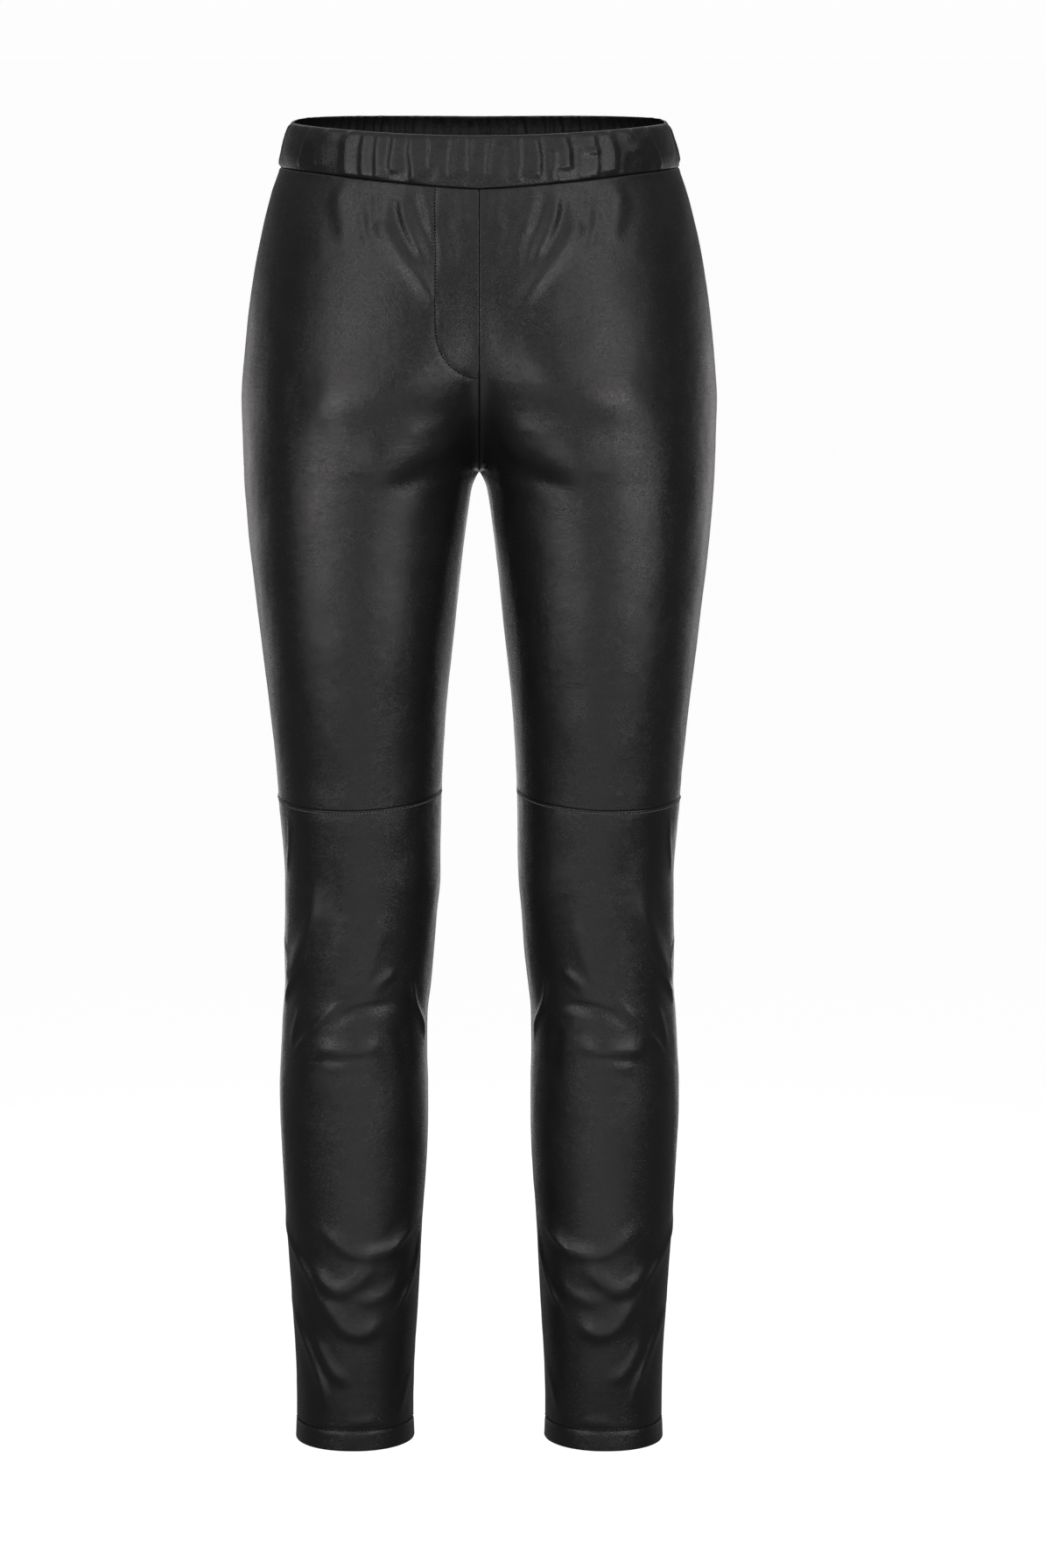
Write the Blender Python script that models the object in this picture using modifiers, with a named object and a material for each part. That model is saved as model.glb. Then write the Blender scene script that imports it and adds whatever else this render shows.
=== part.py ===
"""Faux leather pull-on leggings, filled out as worn, with nobody in them.

Eight sewn pieces: a gathered waistband in front and behind, two front thigh panels that end in a
curved knee seam, two front shin panels below it, and two back panels that run from waist to hem.

Sizes are millimetres and heights are taken above the hems. In the finished object +Z is up, the
front faces -Y, the wearer's left is on +X and the origin is the middle of the waistband.
"""

import math
from collections import namedtuple

import bpy
import numpy as np

# ---------------------------------------------------------------- driving dimensions
MM = 0.001
ORIGIN_HEIGHT = 958.0     # middle of the waistband

WALL = 1.2                # one layer of coated fabric
HEM_WALL = 2.4            # the hem is turned up once: two layers
HEM_TURN = 16.0           # depth of the turned-up hem
HEM_STEP = 1.0            # height over which the wall doubles
BAND_WALL = 3.0           # folded band with the elastic inside
SEAM_GAP = 0.3            # clear distance between sewn pieces

CROTCH_HEIGHT = 724.0
ARCH_ROUND = 8.0          # rounds the arch between the thighs
ARCH_REACH = 12.0         # how far from the centre that rounding is felt
OUTER_ROUNDNESS = 2.2     # exponent of the outer arcs: 2 is an ellipse, more is fuller

FRONT_COLUMNS = 12
BACK_COLUMNS = 10
ROWS_TO_CROTCH = 11       # rows of a panel from the waist seam to the crotch
THIGH_ROWS = 8            # and from there to the knee seam
SHIN_ROWS = 22
BACK_ROWS = 24            # rows of a back panel from the crotch to the hem
ARCH_FIRST_ROW = 0.3      # the first row below the crotch is cut short by the round arch
SIDE_FOLLOWS_EDGE = 0.5   # how much of the inner edge's uneven row spacing the side seam shares
ARC_STEPS = 48            # points on each arc of a section before it is divided evenly
EDGE_STEPS = 200          # points along an inner edge before it is divided evenly
LEAST_SPLIT = 0.001       # below this split a section has no inner arc

# Half a section at each height. side: half width at the side seam. inner: inner side of the leg,
# before the arch between the thighs is rounded. front, back: depth before and behind the middle
# plane. front_crest, back_crest: distance of the foremost and rearmost points from the centre.
# split: 1 where the legs are apart, 0 where the two halves are one flat curve. inseam: how far
# the inseam lies in front of the innermost point.
Section = namedtuple("Section", "height side inner front back front_crest back_crest split inseam")
SECTIONS = [
    Section(990, 133.0,  0.0,  94.0,  99.0,  0.0,  0.0, 0.00,  0.0),
    Section(978, 137.5,  0.0,  95.5, 100.0,  0.0,  0.0, 0.00,  0.0),
    Section(958, 142.0,  0.0,  98.0, 102.0,  0.0,  0.0, 0.00,  0.0),
    Section(944, 144.5,  0.0, 100.5, 104.0,  0.0,  0.0, 0.00,  0.0),
    Section(928, 150.0,  0.0, 103.0, 106.5,  3.0,  8.0, 0.01,  0.0),
    Section(903, 156.5,  0.0, 106.0, 111.0, 12.0, 26.0, 0.04,  0.0),
    Section(852, 166.0,  0.0, 109.5, 119.0, 34.0, 60.0, 0.16,  0.0),
    Section(801, 171.4,  0.0, 109.0, 123.5, 56.0, 77.0, 0.42,  0.0),
    Section(776, 172.8,  0.0, 106.5, 122.0, 66.0, 82.0, 0.62,  0.0),
    Section(750, 172.3,  0.0, 102.5, 115.0, 75.0, 86.0, 0.85,  0.0),
    Section(739, 172.0,  0.0, 100.5, 111.0, 78.5, 87.0, 0.93,  0.0),
    Section(734, 171.8,  0.0,  99.7, 109.0, 80.0, 87.5, 0.96,  0.0),
    Section(729, 171.6,  0.0,  98.8, 107.0, 81.5, 88.0, 0.985, 0.0),
    Section(724, 171.4,  0.0,  98.0, 105.2, 82.5, 88.5, 1.00,  0.0),
    Section(711, 170.7,  2.1,  96.6, 101.0, 84.5, 89.0, 1.00,  0.0),
    Section(698, 169.6,  3.9,  95.2,  97.5, 86.0, 89.3, 1.00,  0.0),
    Section(660, 166.1,  9.6,  91.2,  89.5, 88.0, 89.5, 1.00,  0.0),
    Section(608, 160.0, 16.2,  85.2,  80.0, 88.5, 89.5, 1.00,  0.0),
    Section(556, 153.8, 22.5,  77.4,  72.0, 88.8, 89.5, 1.00,  0.0),
    Section(504, 148.3, 26.2,  68.6,  65.0, 88.0, 88.5, 1.00,  2.0),
    Section(478, 146.2, 27.6,  64.5,  61.5, 87.5, 88.0, 1.00,  4.0),
    Section(452, 143.8, 28.3,  60.5,  59.0, 86.5, 87.5, 1.00,  6.5),
    Section(426, 142.2, 28.6,  57.2,  58.0, 86.0, 87.5, 1.00,  9.0),
    Section(400, 142.3, 31.0,  54.0,  59.5, 87.0, 88.0, 1.00, 10.5),
    Section(374, 143.0, 33.0,  50.8,  63.0, 88.5, 89.5, 1.00, 10.5),
    Section(347, 142.7, 35.8,  48.0,  67.0, 90.0, 91.0, 1.00,  9.0),
    Section(321, 144.6, 38.6,  45.8,  70.5, 91.5, 92.5, 1.00,  7.0),
    Section(294, 146.0, 38.9,  44.2,  73.0, 92.0, 93.0, 1.00,  5.0),
    Section(268, 147.3, 38.4,  42.8,  73.6, 92.5, 93.5, 1.00,  3.5),
    Section(241, 146.9, 38.4,  41.4,  72.6, 92.5, 93.5, 1.00,  2.5),
    Section(215, 145.7, 39.2,  40.0,  70.6, 92.5, 93.0, 1.00,  2.0),
    Section(162, 142.6, 43.0,  37.0,  66.4, 92.5, 93.0, 1.00,  2.0),
    Section(108, 139.1, 45.7,  34.0,  63.2, 92.5, 92.5, 1.00,  2.0),
    Section( 55, 136.0, 49.0,  31.5,  61.4, 92.5, 92.5, 1.00,  2.0),
    Section( 14, 135.6, 49.8,  30.8,  61.6, 92.5, 92.5, 1.00,  2.0),
    Section( -4, 136.3, 49.2,  31.2,  62.4, 92.5, 92.5, 1.00,  2.0),
]

# Heights of the cross seams, at the side seam, half way round the panel and at its inner edge.
Seam = namedtuple("Seam", "side middle inner")
WAIST_SEAM_FRONT = Seam(945.0, 943.0, 935.4)
WAIST_SEAM_BACK = Seam(945.0, 944.0, 941.0)
BAND_TOP_FRONT = Seam(978.5, 975.5, 972.7)
BAND_TOP_BACK = Seam(978.5, 978.5, 977.3)
KNEE_SEAM = Seam(488.0, 484.2, 492.5)
HEM = Seam(0.0, 0.0, 0.0)

# The waistband's profile from its lower seam (0) to its top fold (1): how far it stands out.
BandRow = namedtuple("BandRow", "rise bulge")
BAND_ROWS = [BandRow(0.0, 0.2), BandRow(0.14, 2.0), BandRow(0.55, 2.6), BandRow(1.0, 0.6)]
BAND_FRONT_COLUMNS = 60
BAND_BACK_COLUMNS = 48
GATHER_RISE = 1.1
GATHER_WIDTH = 4.0
GATHER_START = 0.15       # share of a gather's swell that lies below the lower seam
# Ridges of the front gathers, across the front from the wearer's right to the left.
FRONT_GATHERS = [-122, -96, -82, -70, -59, -46, -33, -20, -7, 6, 28, 39, 57, 72, 90, 116]
BACK_GATHER_PITCH = 15.0

# The largest folds. width: half width of the fold. rise: height of the ridge, negative for a
# trough. path: points on it as (distance from the centre plane, height).
Fold = namedtuple("Fold", "name width rise path")
FRONT_FOLDS = [
    Fold("hip whisker",          18,  2.0, [(108, 800), (72, 793), (34, 797)]),
    Fold("below hip whisker",    14, -1.8, [(108, 777), (76, 777), (46, 784)]),
    Fold("crotch whisker",       14,  2.0, [(26, 766), (50, 753), (78, 741)]),
    Fold("below crotch whisker", 14, -2.0, [(10, 746), (36, 734), (62, 722)]),
    Fold("outer shin",           10,  3.2, [(108, 428), (116, 398), (130, 366), (142, 330)]),
    Fold("beside outer shin",    10, -2.6, [(98, 424), (102, 396), (112, 366), (126, 336)]),
    Fold("calf crease",           8, -2.6, [(106, 321), (92, 330), (72, 335)]),
    Fold("calf ridge",            8,  2.8, [(116, 304), (98, 307), (78, 305)]),
    Fold("upper ankle festoon",   9,  3.2, [(116, 163), (97, 149), (84, 147), (62, 158), (46, 174)]),
    Fold("middle ankle festoon",  8,  2.8, [(120, 137), (103, 122), (76, 137)]),
    Fold("lower ankle festoon",   8,  3.0, [(112, 109), (98, 91), (88, 88), (73, 98)]),
]
BACK_FOLDS = [
    Fold("under the seat",       12, -3.0, [(30, 722), (70, 708), (120, 716)]),
    Fold("below the seat",       11,  2.4, [(36, 700), (80, 686), (130, 700)]),
    Fold("upper knee hollow",     9, -2.6, [(48, 470), (88, 460), (124, 472)]),
    Fold("lower knee hollow",     9, -2.6, [(46, 436), (84, 444), (122, 430)]),
    Fold("knee hollow ridge",     9,  2.4, [(50, 452), (88, 450), (126, 452)]),
    Fold("upper ankle festoon",   9,  2.8, [(58, 176), (92, 158), (126, 172)]),
    Fold("lower ankle festoon",   9,  2.8, [(62, 118), (94, 102), (122, 116)]),
]
FOLD_EDGE = 8.0           # folds fade out over this distance before a seam

# above, below: rows above and below the crotch. facing: -1 in front, 1 behind.
Panel = namedtuple("Panel", "name top bottom facing above below columns hem folds")
PANELS = [
    Panel("front_thigh", WAIST_SEAM_FRONT, KNEE_SEAM, -1,
          ROWS_TO_CROTCH, THIGH_ROWS, FRONT_COLUMNS, False, FRONT_FOLDS),
    Panel("front_shin", KNEE_SEAM, HEM, -1, 0, SHIN_ROWS, FRONT_COLUMNS, True, FRONT_FOLDS),
    Panel("back_leg", WAIST_SEAM_BACK, HEM, 1,
          ROWS_TO_CROTCH, BACK_ROWS, BACK_COLUMNS, True, BACK_FOLDS),
]

LEATHER = (0.016, 0.0155, 0.015, 1.0)
LEATHER_ROUGHNESS = 0.42


# ---------------------------------------------------------------- sections
def slopes(heights, values):
    """Slopes of a smooth curve through a column of the table, with no overshoot at its ends."""
    steps = np.diff(values) / np.diff(heights)
    inner = np.where(steps[:-1] * steps[1:] > 0, 0.5 * (steps[:-1] + steps[1:]), 0.0)
    limit = 3 * np.minimum(np.abs(steps[:-1]), np.abs(steps[1:]))
    inner = np.sign(inner) * np.minimum(np.abs(inner), limit)
    return np.concatenate(([steps[0]], inner, [steps[-1]]))


ROWS = sorted(SECTIONS)
HEIGHTS = np.array([row.height for row in ROWS], dtype=float)
COLUMNS = {name: np.array([getattr(row, name) for row in ROWS], dtype=float)
           for name in Section._fields[1:]}
SLOPES = {name: slopes(HEIGHTS, column) for name, column in COLUMNS.items()}


def read(name, height):
    """One column of the section table at any height, on a smooth curve."""
    at = int(np.clip(np.searchsorted(HEIGHTS, height) - 1, 0, len(HEIGHTS) - 2))
    span = HEIGHTS[at + 1] - HEIGHTS[at]
    t = (height - HEIGHTS[at]) / span
    values, slope = COLUMNS[name], SLOPES[name]
    return ((1 + 2 * t) * (1 - t) ** 2 * values[at] + t * (1 - t) ** 2 * span * slope[at]
            + t * t * (3 - 2 * t) * values[at + 1] + t * t * (t - 1) * span * slope[at + 1])


def half_arc(height, facing):
    """From the side seam to the centre plane or the innermost point; facing is -1 in front."""
    front, back = read("front", height), read("back", height)
    depth, crest = (front, read("front_crest", height)) if facing < 0 else (
        back, read("back_crest", height))
    side = read("side", height)
    middle = 0.5 * (back - front)
    reach = depth - facing * middle
    turn = np.linspace(0, 0.5 * math.pi, ARC_STEPS)
    outer = np.column_stack((
        crest + (side - crest) * np.cos(turn) ** (2 / OUTER_ROUNDNESS),
        middle + facing * reach * np.sin(turn) ** (2 / OUTER_ROUNDNESS)))
    split = min(read("split", height), 1.0)
    if split < LEAST_SPLIT:
        return outer
    half_width = crest - read("inner", height) if height < CROTCH_HEIGHT else crest / split
    turn = np.linspace(0, math.asin(split), ARC_STEPS)[1:]
    inner = np.column_stack((crest - half_width * np.sin(turn),
                             middle + facing * reach * np.cos(turn)))
    return np.vstack((outer, inner))


def round_arch(points):
    """Moves the surface off the centre plane so that the arch between the thighs is round."""
    across = np.maximum(points[:, 0], 0.0)
    points[:, 0] = np.sqrt(across ** 2 + 2 * ARCH_ROUND * across * np.exp(-across / ARCH_REACH))
    return points


def run_length(points):
    return np.concatenate(([0.0], np.cumsum(np.linalg.norm(np.diff(points, axis=0), axis=1))))


def panel_arc(height, facing):
    """A panel's section: from the side seam to its inner edge, with the inseam moved forward."""
    arc = round_arch(half_arc(height, facing))
    shift = read("inseam", height) if height < CROTCH_HEIGHT else 0.0
    if shift > 0:
        other = round_arch(half_arc(height, -facing))
        loop = np.vstack((arc, other[::-1][1:]))
        end = run_length(arc)[-1] + facing * shift
        run = run_length(loop)
        keep = run < end
        tip = [np.interp(end, run, loop[:, k]) for k in (0, 1)]
        arc = np.vstack((loop[keep], tip))
    return arc


def along(arc, distance):
    """The point of an arc at a distance from its start."""
    run = run_length(arc)
    return [float(np.interp(distance, run, arc[:, k])) for k in (0, 1)]


def edge_heights(top, bottom, facing, rows):
    """Heights of a panel's rows where they meet its inner edge, evenly spaced along that edge."""
    heights = top - (top - bottom) * np.sqrt(np.linspace(0, 1, EDGE_STEPS))
    ends = np.array([[*panel_arc(h, facing)[-1], h] for h in heights])
    run = run_length(ends)
    return np.interp(np.linspace(0, run[-1], rows + 1), run, heights)


def row_heights(top, bottom, facing, above, below, hem):
    """Height of each row at the side seam and at the inner edge, from the top edge down."""
    low = bottom.inner + (HEM_TURN if hem else 0.0)
    if above:
        even = np.linspace(0, 1, below + 1)
        even = np.insert(even, 1, ARCH_FIRST_ROW * even[1])
        inner = np.concatenate((edge_heights(top.inner, CROTCH_HEIGHT, facing, above)[:-1],
                                CROTCH_HEIGHT - (CROTCH_HEIGHT - low) * even))
    else:
        inner = np.linspace(top.inner, low, below + 1)
    share = (top.inner - inner) / (top.inner - low)
    rows = np.linspace(0, 1, len(inner))
    share = rows + (share - rows) * SIDE_FOLLOWS_EDGE
    side = top.side - (top.side - bottom.side - (HEM_TURN if hem else 0.0)) * share
    if hem:
        inner = np.concatenate((inner, [low - HEM_STEP, bottom.inner]))
        side = np.concatenate((side, [side[-1] - HEM_STEP, bottom.side]))
    return side, inner


# ---------------------------------------------------------------- folds
def path_distance(across, height, path):
    """Distance of a point from a fold's path, in the front or back view."""
    best = math.inf
    for (x0, h0), (x1, h1) in zip(path, path[1:]):
        dx, dh = x1 - x0, h1 - h0
        t = ((across - x0) * dx + (height - h0) * dh) / (dx * dx + dh * dh)
        t = min(max(t, 0.0), 1.0)
        best = min(best, math.hypot(across - x0 - t * dx, height - h0 - t * dh))
    return best


def fold_rise(across, height, folds):
    return sum(fold.rise * math.exp(-(path_distance(across, height, fold.path) / fold.width) ** 2)
               for fold in folds)


def grid_normals(grid):
    """Normals of a grid of points, from the differences along its rows and columns."""
    down = np.gradient(grid, axis=0)
    over = np.gradient(grid, axis=1)
    normal = np.cross(down, over)
    return normal / np.linalg.norm(normal, axis=2, keepdims=True)


# ---------------------------------------------------------------- panels
def ease(u):
    return 0.5 - 0.5 * math.cos(math.pi * u)


def bow(seam, u):
    """How far a cross seam runs above an even line from its side end to its inner end."""
    return (seam.middle - 0.5 * (seam.side + seam.inner)) * math.sin(math.pi * u)


def seam_height(seam, u):
    """Height of a cross seam at u, from the side seam (0) to the inner edge (1)."""
    return seam.side + (seam.inner - seam.side) * ease(u) + bow(seam, u)


def panel_grid(panel):
    """Outer surface of a panel on the wearer's left, as a grid from its top edge down."""
    wall = HEM_WALL if panel.hem else WALL
    inset = 0.5 * SEAM_GAP + wall * math.tan(math.pi / (FRONT_COLUMNS + BACK_COLUMNS))
    sides, inners = row_heights(panel.top, panel.bottom, panel.facing, panel.above, panel.below,
                                panel.hem)
    last = len(sides) - 1
    grid = np.zeros((last + 1, panel.columns + 1, 3))
    for i, (side, inner) in enumerate(zip(sides, inners)):
        down = i / last
        for j in range(panel.columns + 1):
            u = j / panel.columns
            height = side + (inner - side) * ease(u)
            height += (1 - down) * bow(panel.top, u) + down * bow(panel.bottom, u)
            if i == 0:
                height -= inset
            elif i == last and not panel.hem:
                height += inset
            arc = panel_arc(height, panel.facing)
            reach = run_length(arc)[-1] - 2 * inset
            grid[i, j] = (*along(arc, inset + u * reach), height)
    return grid


def add_folds(grid, facing, folds):
    """Raises and sinks the panel along its folds, out of and into its surface."""
    normals = grid_normals(grid) * facing
    rows, columns = grid.shape[:2]
    over = np.linalg.norm(np.diff(grid, axis=1), axis=2).sum(axis=1)
    moved = grid.copy()
    for i in range(rows):
        for j in range(columns):
            x, _, height = grid[i, j]
            to_seam = over[i] * min(j, columns - 1 - j) / (columns - 1)
            fade = min(to_seam / FOLD_EDGE, 1.0) * (0.0 if i in (0, rows - 1) else 1.0)
            moved[i, j] += normals[i, j] * fade * fold_rise(x, height, folds)
    return moved


def band_grid(lower, upper, facing, columns, gather):
    """Outer surface of half the waistband, from the wearer's right side seam to the left one."""
    lean = math.tan(math.pi / (BAND_FRONT_COLUMNS + BAND_BACK_COLUMNS))
    inset = 0.5 * SEAM_GAP + BAND_WALL * lean
    grid = np.zeros((len(BAND_ROWS), columns + 1, 3))
    for i, row in enumerate(BAND_ROWS):
        for j in range(columns + 1):
            t = 2 * j / columns - 1
            low, high = seam_height(lower, 1 - abs(t)), seam_height(upper, 1 - abs(t))
            height = low + inset + row.rise * (high - low - inset)
            arc = panel_arc(height, facing)
            length = run_length(arc)[-1]
            x, y = along(arc, inset + (1 - abs(t)) * (length - inset))
            swell = math.sin(math.pi * (GATHER_START + (1 - GATHER_START) * row.rise))
            out = row.bulge + swell * gather(length * t)
            away = np.array((x / read("side", height) ** 2, y / read("front", height) ** 2))
            x, y = np.array((x, y)) + away * out / np.linalg.norm(away)
            grid[i, j] = (math.copysign(x, t), y, height)
    return grid


def front_gather(across):
    return GATHER_RISE * sum(math.exp(-((across - ridge) / GATHER_WIDTH) ** 2)
                             for ridge in FRONT_GATHERS)


def back_gather(across):
    return GATHER_RISE * 0.5 * (1 + math.cos(2 * math.pi * across / BACK_GATHER_PITCH))


# ---------------------------------------------------------------- objects
def leather():
    material = bpy.data.materials.new("faux_leather")
    material.use_nodes = True
    shader = material.node_tree.nodes["Principled BSDF"]
    shader.inputs["Base Color"].default_value = LEATHER
    shader.inputs["Roughness"].default_value = LEATHER_ROUGHNESS
    shader.inputs["Metallic"].default_value = 0.0
    return material


def shell(name, grid, outward, wall, thin_share, collection):
    """An open grid of faces made solid inwards. Rows above the hem have thin_share of the wall."""
    rows, columns = grid.shape[:2]
    points = grid.copy()
    points[:, :, 2] -= ORIGIN_HEIGHT
    faces = []
    for i in range(rows - 1):
        for j in range(columns - 1):
            corner = i * columns + j
            quad = (corner, corner + columns, corner + columns + 1, corner + 1)
            faces.append(quad if outward > 0 else quad[::-1])
    mesh = bpy.data.meshes.new(name)
    mesh.from_pydata((points.reshape(-1, 3) * MM).tolist(), [], faces)
    mesh.materials.append(leather())
    mesh.shade_smooth()
    piece = bpy.data.objects.new(name, mesh)
    collection.objects.link(piece)
    solid = piece.modifiers.new("wall", "SOLIDIFY")
    solid.thickness = wall * MM
    solid.offset = -1.0
    solid.use_even_offset = True
    if thin_share < 1.0:
        hem = piece.vertex_groups.new(name="hem")
        hem.add(list(range((rows - 2) * columns, rows * columns)), 1.0, "REPLACE")
        solid.vertex_group = "hem"
        solid.thickness_vertex_group = thin_share
    return piece


def mirrored(grid):
    return grid * np.array((-1.0, 1.0, 1.0))


def build():
    for old in list(bpy.data.objects):
        bpy.data.objects.remove(old, do_unlink=True)
    leggings = bpy.data.collections.new("faux_leather_leggings")
    bpy.context.scene.collection.children.link(leggings)

    for panel in PANELS:
        grid = add_folds(panel_grid(panel), panel.facing, panel.folds)
        wall, share = (HEM_WALL, WALL / HEM_WALL) if panel.hem else (WALL, 1.0)
        shell(panel.name + "_left", grid, panel.facing, wall, share, leggings)
        shell(panel.name + "_right", mirrored(grid), -panel.facing, wall, share, leggings)

    front = band_grid(WAIST_SEAM_FRONT, BAND_TOP_FRONT, -1, BAND_FRONT_COLUMNS, front_gather)
    shell("waistband_front", front, 1, BAND_WALL, 1.0, leggings)
    back = band_grid(WAIST_SEAM_BACK, BAND_TOP_BACK, 1, BAND_BACK_COLUMNS, back_gather)
    shell("waistband_back", back, -1, BAND_WALL, 1.0, leggings)


build()
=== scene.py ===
"""Faux leather pull-on leggings, filled out as worn: the visible cloth, stitching and studio.

The cloth follows the same sections and seams as the solids. Each panel is a fine thin shell whose
outer face is the section surface plus listed folds. Sizes are millimetres and heights are
above the hems, until a mesh is made in metres with its origin at the middle of the waistband.
"""

import math
from collections import namedtuple

import bpy
import numpy as np
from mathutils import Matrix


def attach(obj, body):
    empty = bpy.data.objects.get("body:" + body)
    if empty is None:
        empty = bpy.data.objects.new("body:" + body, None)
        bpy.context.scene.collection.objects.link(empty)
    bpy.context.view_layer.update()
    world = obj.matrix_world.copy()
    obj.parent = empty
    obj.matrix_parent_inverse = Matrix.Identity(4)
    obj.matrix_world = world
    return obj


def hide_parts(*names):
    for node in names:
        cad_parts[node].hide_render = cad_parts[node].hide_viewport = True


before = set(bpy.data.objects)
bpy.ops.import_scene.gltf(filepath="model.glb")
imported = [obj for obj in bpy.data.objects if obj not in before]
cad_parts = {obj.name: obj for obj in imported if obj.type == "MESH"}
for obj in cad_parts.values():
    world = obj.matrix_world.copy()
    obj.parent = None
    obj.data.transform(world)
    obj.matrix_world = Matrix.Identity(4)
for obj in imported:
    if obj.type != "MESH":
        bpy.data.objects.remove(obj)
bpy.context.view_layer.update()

# ---------------------------------------------------------------- the cut, as in the solids
MM = 0.001
ORIGIN_HEIGHT = 958.0
WALL = 1.2
HEM_WALL = 2.4
HEM_TURN = 16.0
BAND_WALL = 3.0
CROTCH = 724.0
ARCH_ROUND = 8.0
ARCH_REACH = 12.0
OUTER_ROUNDNESS = 2.2
ARC_STEPS = 60
LEAST_SPLIT = 0.001

Section = namedtuple("Section", "height side inner front back front_crest back_crest split inseam")
SECTIONS = [Section(*row) for row in (
    (990, 133.0,  0.0,  94.0,  99.0,  0.0,  0.0, 0.00,  0.0),
    (978, 137.5,  0.0,  95.5, 100.0,  0.0,  0.0, 0.00,  0.0),
    (958, 142.0,  0.0,  98.0, 102.0,  0.0,  0.0, 0.00,  0.0),
    (944, 144.5,  0.0, 100.5, 104.0,  0.0,  0.0, 0.00,  0.0),
    (928, 150.0,  0.0, 103.0, 106.5,  3.0,  8.0, 0.01,  0.0),
    (903, 156.5,  0.0, 106.0, 111.0, 12.0, 26.0, 0.04,  0.0),
    (852, 166.0,  0.0, 109.5, 119.0, 34.0, 60.0, 0.16,  0.0),
    (801, 171.4,  0.0, 109.0, 123.5, 56.0, 77.0, 0.42,  0.0),
    (776, 172.8,  0.0, 106.5, 122.0, 66.0, 82.0, 0.62,  0.0),
    (750, 172.3,  0.0, 102.5, 115.0, 75.0, 86.0, 0.85,  0.0),
    (739, 172.0,  0.0, 100.5, 111.0, 78.5, 87.0, 0.93,  0.0),
    (734, 171.8,  0.0,  99.7, 109.0, 80.0, 87.5, 0.96,  0.0),
    (729, 171.6,  0.0,  98.8, 107.0, 81.5, 88.0, 0.985, 0.0),
    (724, 171.4,  0.0,  98.0, 105.2, 82.5, 88.5, 1.00,  0.0),
    (711, 170.7,  2.1,  96.6, 101.0, 84.5, 89.0, 1.00,  0.0),
    (698, 169.6,  3.9,  95.2,  97.5, 86.0, 89.3, 1.00,  0.0),
    (660, 166.1,  9.6,  91.2,  89.5, 88.0, 89.5, 1.00,  0.0),
    (608, 160.0, 16.2,  85.2,  80.0, 88.5, 89.5, 1.00,  0.0),
    (556, 153.8, 22.5,  77.4,  72.0, 88.8, 89.5, 1.00,  0.0),
    (504, 148.3, 26.2,  68.6,  65.0, 88.0, 88.5, 1.00,  2.0),
    (478, 146.2, 27.6,  64.5,  61.5, 87.5, 88.0, 1.00,  4.0),
    (452, 143.8, 28.3,  60.5,  59.0, 86.5, 87.5, 1.00,  6.5),
    (426, 142.2, 28.6,  57.2,  58.0, 86.0, 87.5, 1.00,  9.0),
    (400, 142.3, 31.0,  54.0,  59.5, 87.0, 88.0, 1.00, 10.5),
    (374, 143.0, 33.0,  50.8,  63.0, 88.5, 89.5, 1.00, 10.5),
    (347, 142.7, 35.8,  48.0,  67.0, 90.0, 91.0, 1.00,  9.0),
    (321, 144.6, 38.6,  45.8,  70.5, 91.5, 92.5, 1.00,  7.0),
    (294, 146.0, 38.9,  44.2,  73.0, 92.0, 93.0, 1.00,  5.0),
    (268, 147.3, 38.4,  42.8,  73.6, 92.5, 93.5, 1.00,  3.5),
    (241, 146.9, 38.4,  41.4,  72.6, 92.5, 93.5, 1.00,  2.5),
    (215, 145.7, 39.2,  40.0,  70.6, 92.5, 93.0, 1.00,  2.0),
    (162, 142.6, 43.0,  37.0,  66.4, 92.5, 93.0, 1.00,  2.0),
    (108, 139.1, 45.7,  34.0,  63.2, 92.5, 92.5, 1.00,  2.0),
    ( 55, 136.0, 49.0,  31.5,  61.4, 92.5, 92.5, 1.00,  2.0),
    ( 14, 135.6, 49.8,  30.8,  61.6, 92.5, 92.5, 1.00,  2.0),
    ( -4, 136.3, 49.2,  31.2,  62.4, 92.5, 92.5, 1.00,  2.0),
)]
LOWEST, HIGHEST = -4.0, 990.0             # heights of the table's last and first rows

Seam = namedtuple("Seam", "side middle inner")
WAIST_SEAM_FRONT = Seam(945.0, 943.0, 935.4)
WAIST_SEAM_BACK = Seam(945.0, 944.0, 941.0)
BAND_TOP_FRONT = Seam(978.5, 975.5, 972.7)
BAND_TOP_BACK = Seam(978.5, 978.5, 977.3)
KNEE_SEAM = Seam(488.0, 484.2, 492.5)
HEM = Seam(-0.8, -1.6, -0.8)

# ---------------------------------------------------------------- how fine the cloth is
LEVEL_STEP = 1.5
ARCH_LEVELS = 61          # extra levels of the section table round the top of the arch
ARCH_SPAN = 12.0
FRACTIONS = 181           # points kept on each section
EDGE = (0.0, 0.3, 0.7, 1.2, 1.9, 2.9)     # distances of the first rows and columns from a seam
FRONT_STEP = 2.1
SHIN_STEP = 1.9
BACK_STEP = 2.45
BAND_STEP = 0.95
BAND_ROWS = 26
PROBES = 400              # points along a line that is searched or measured

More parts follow.
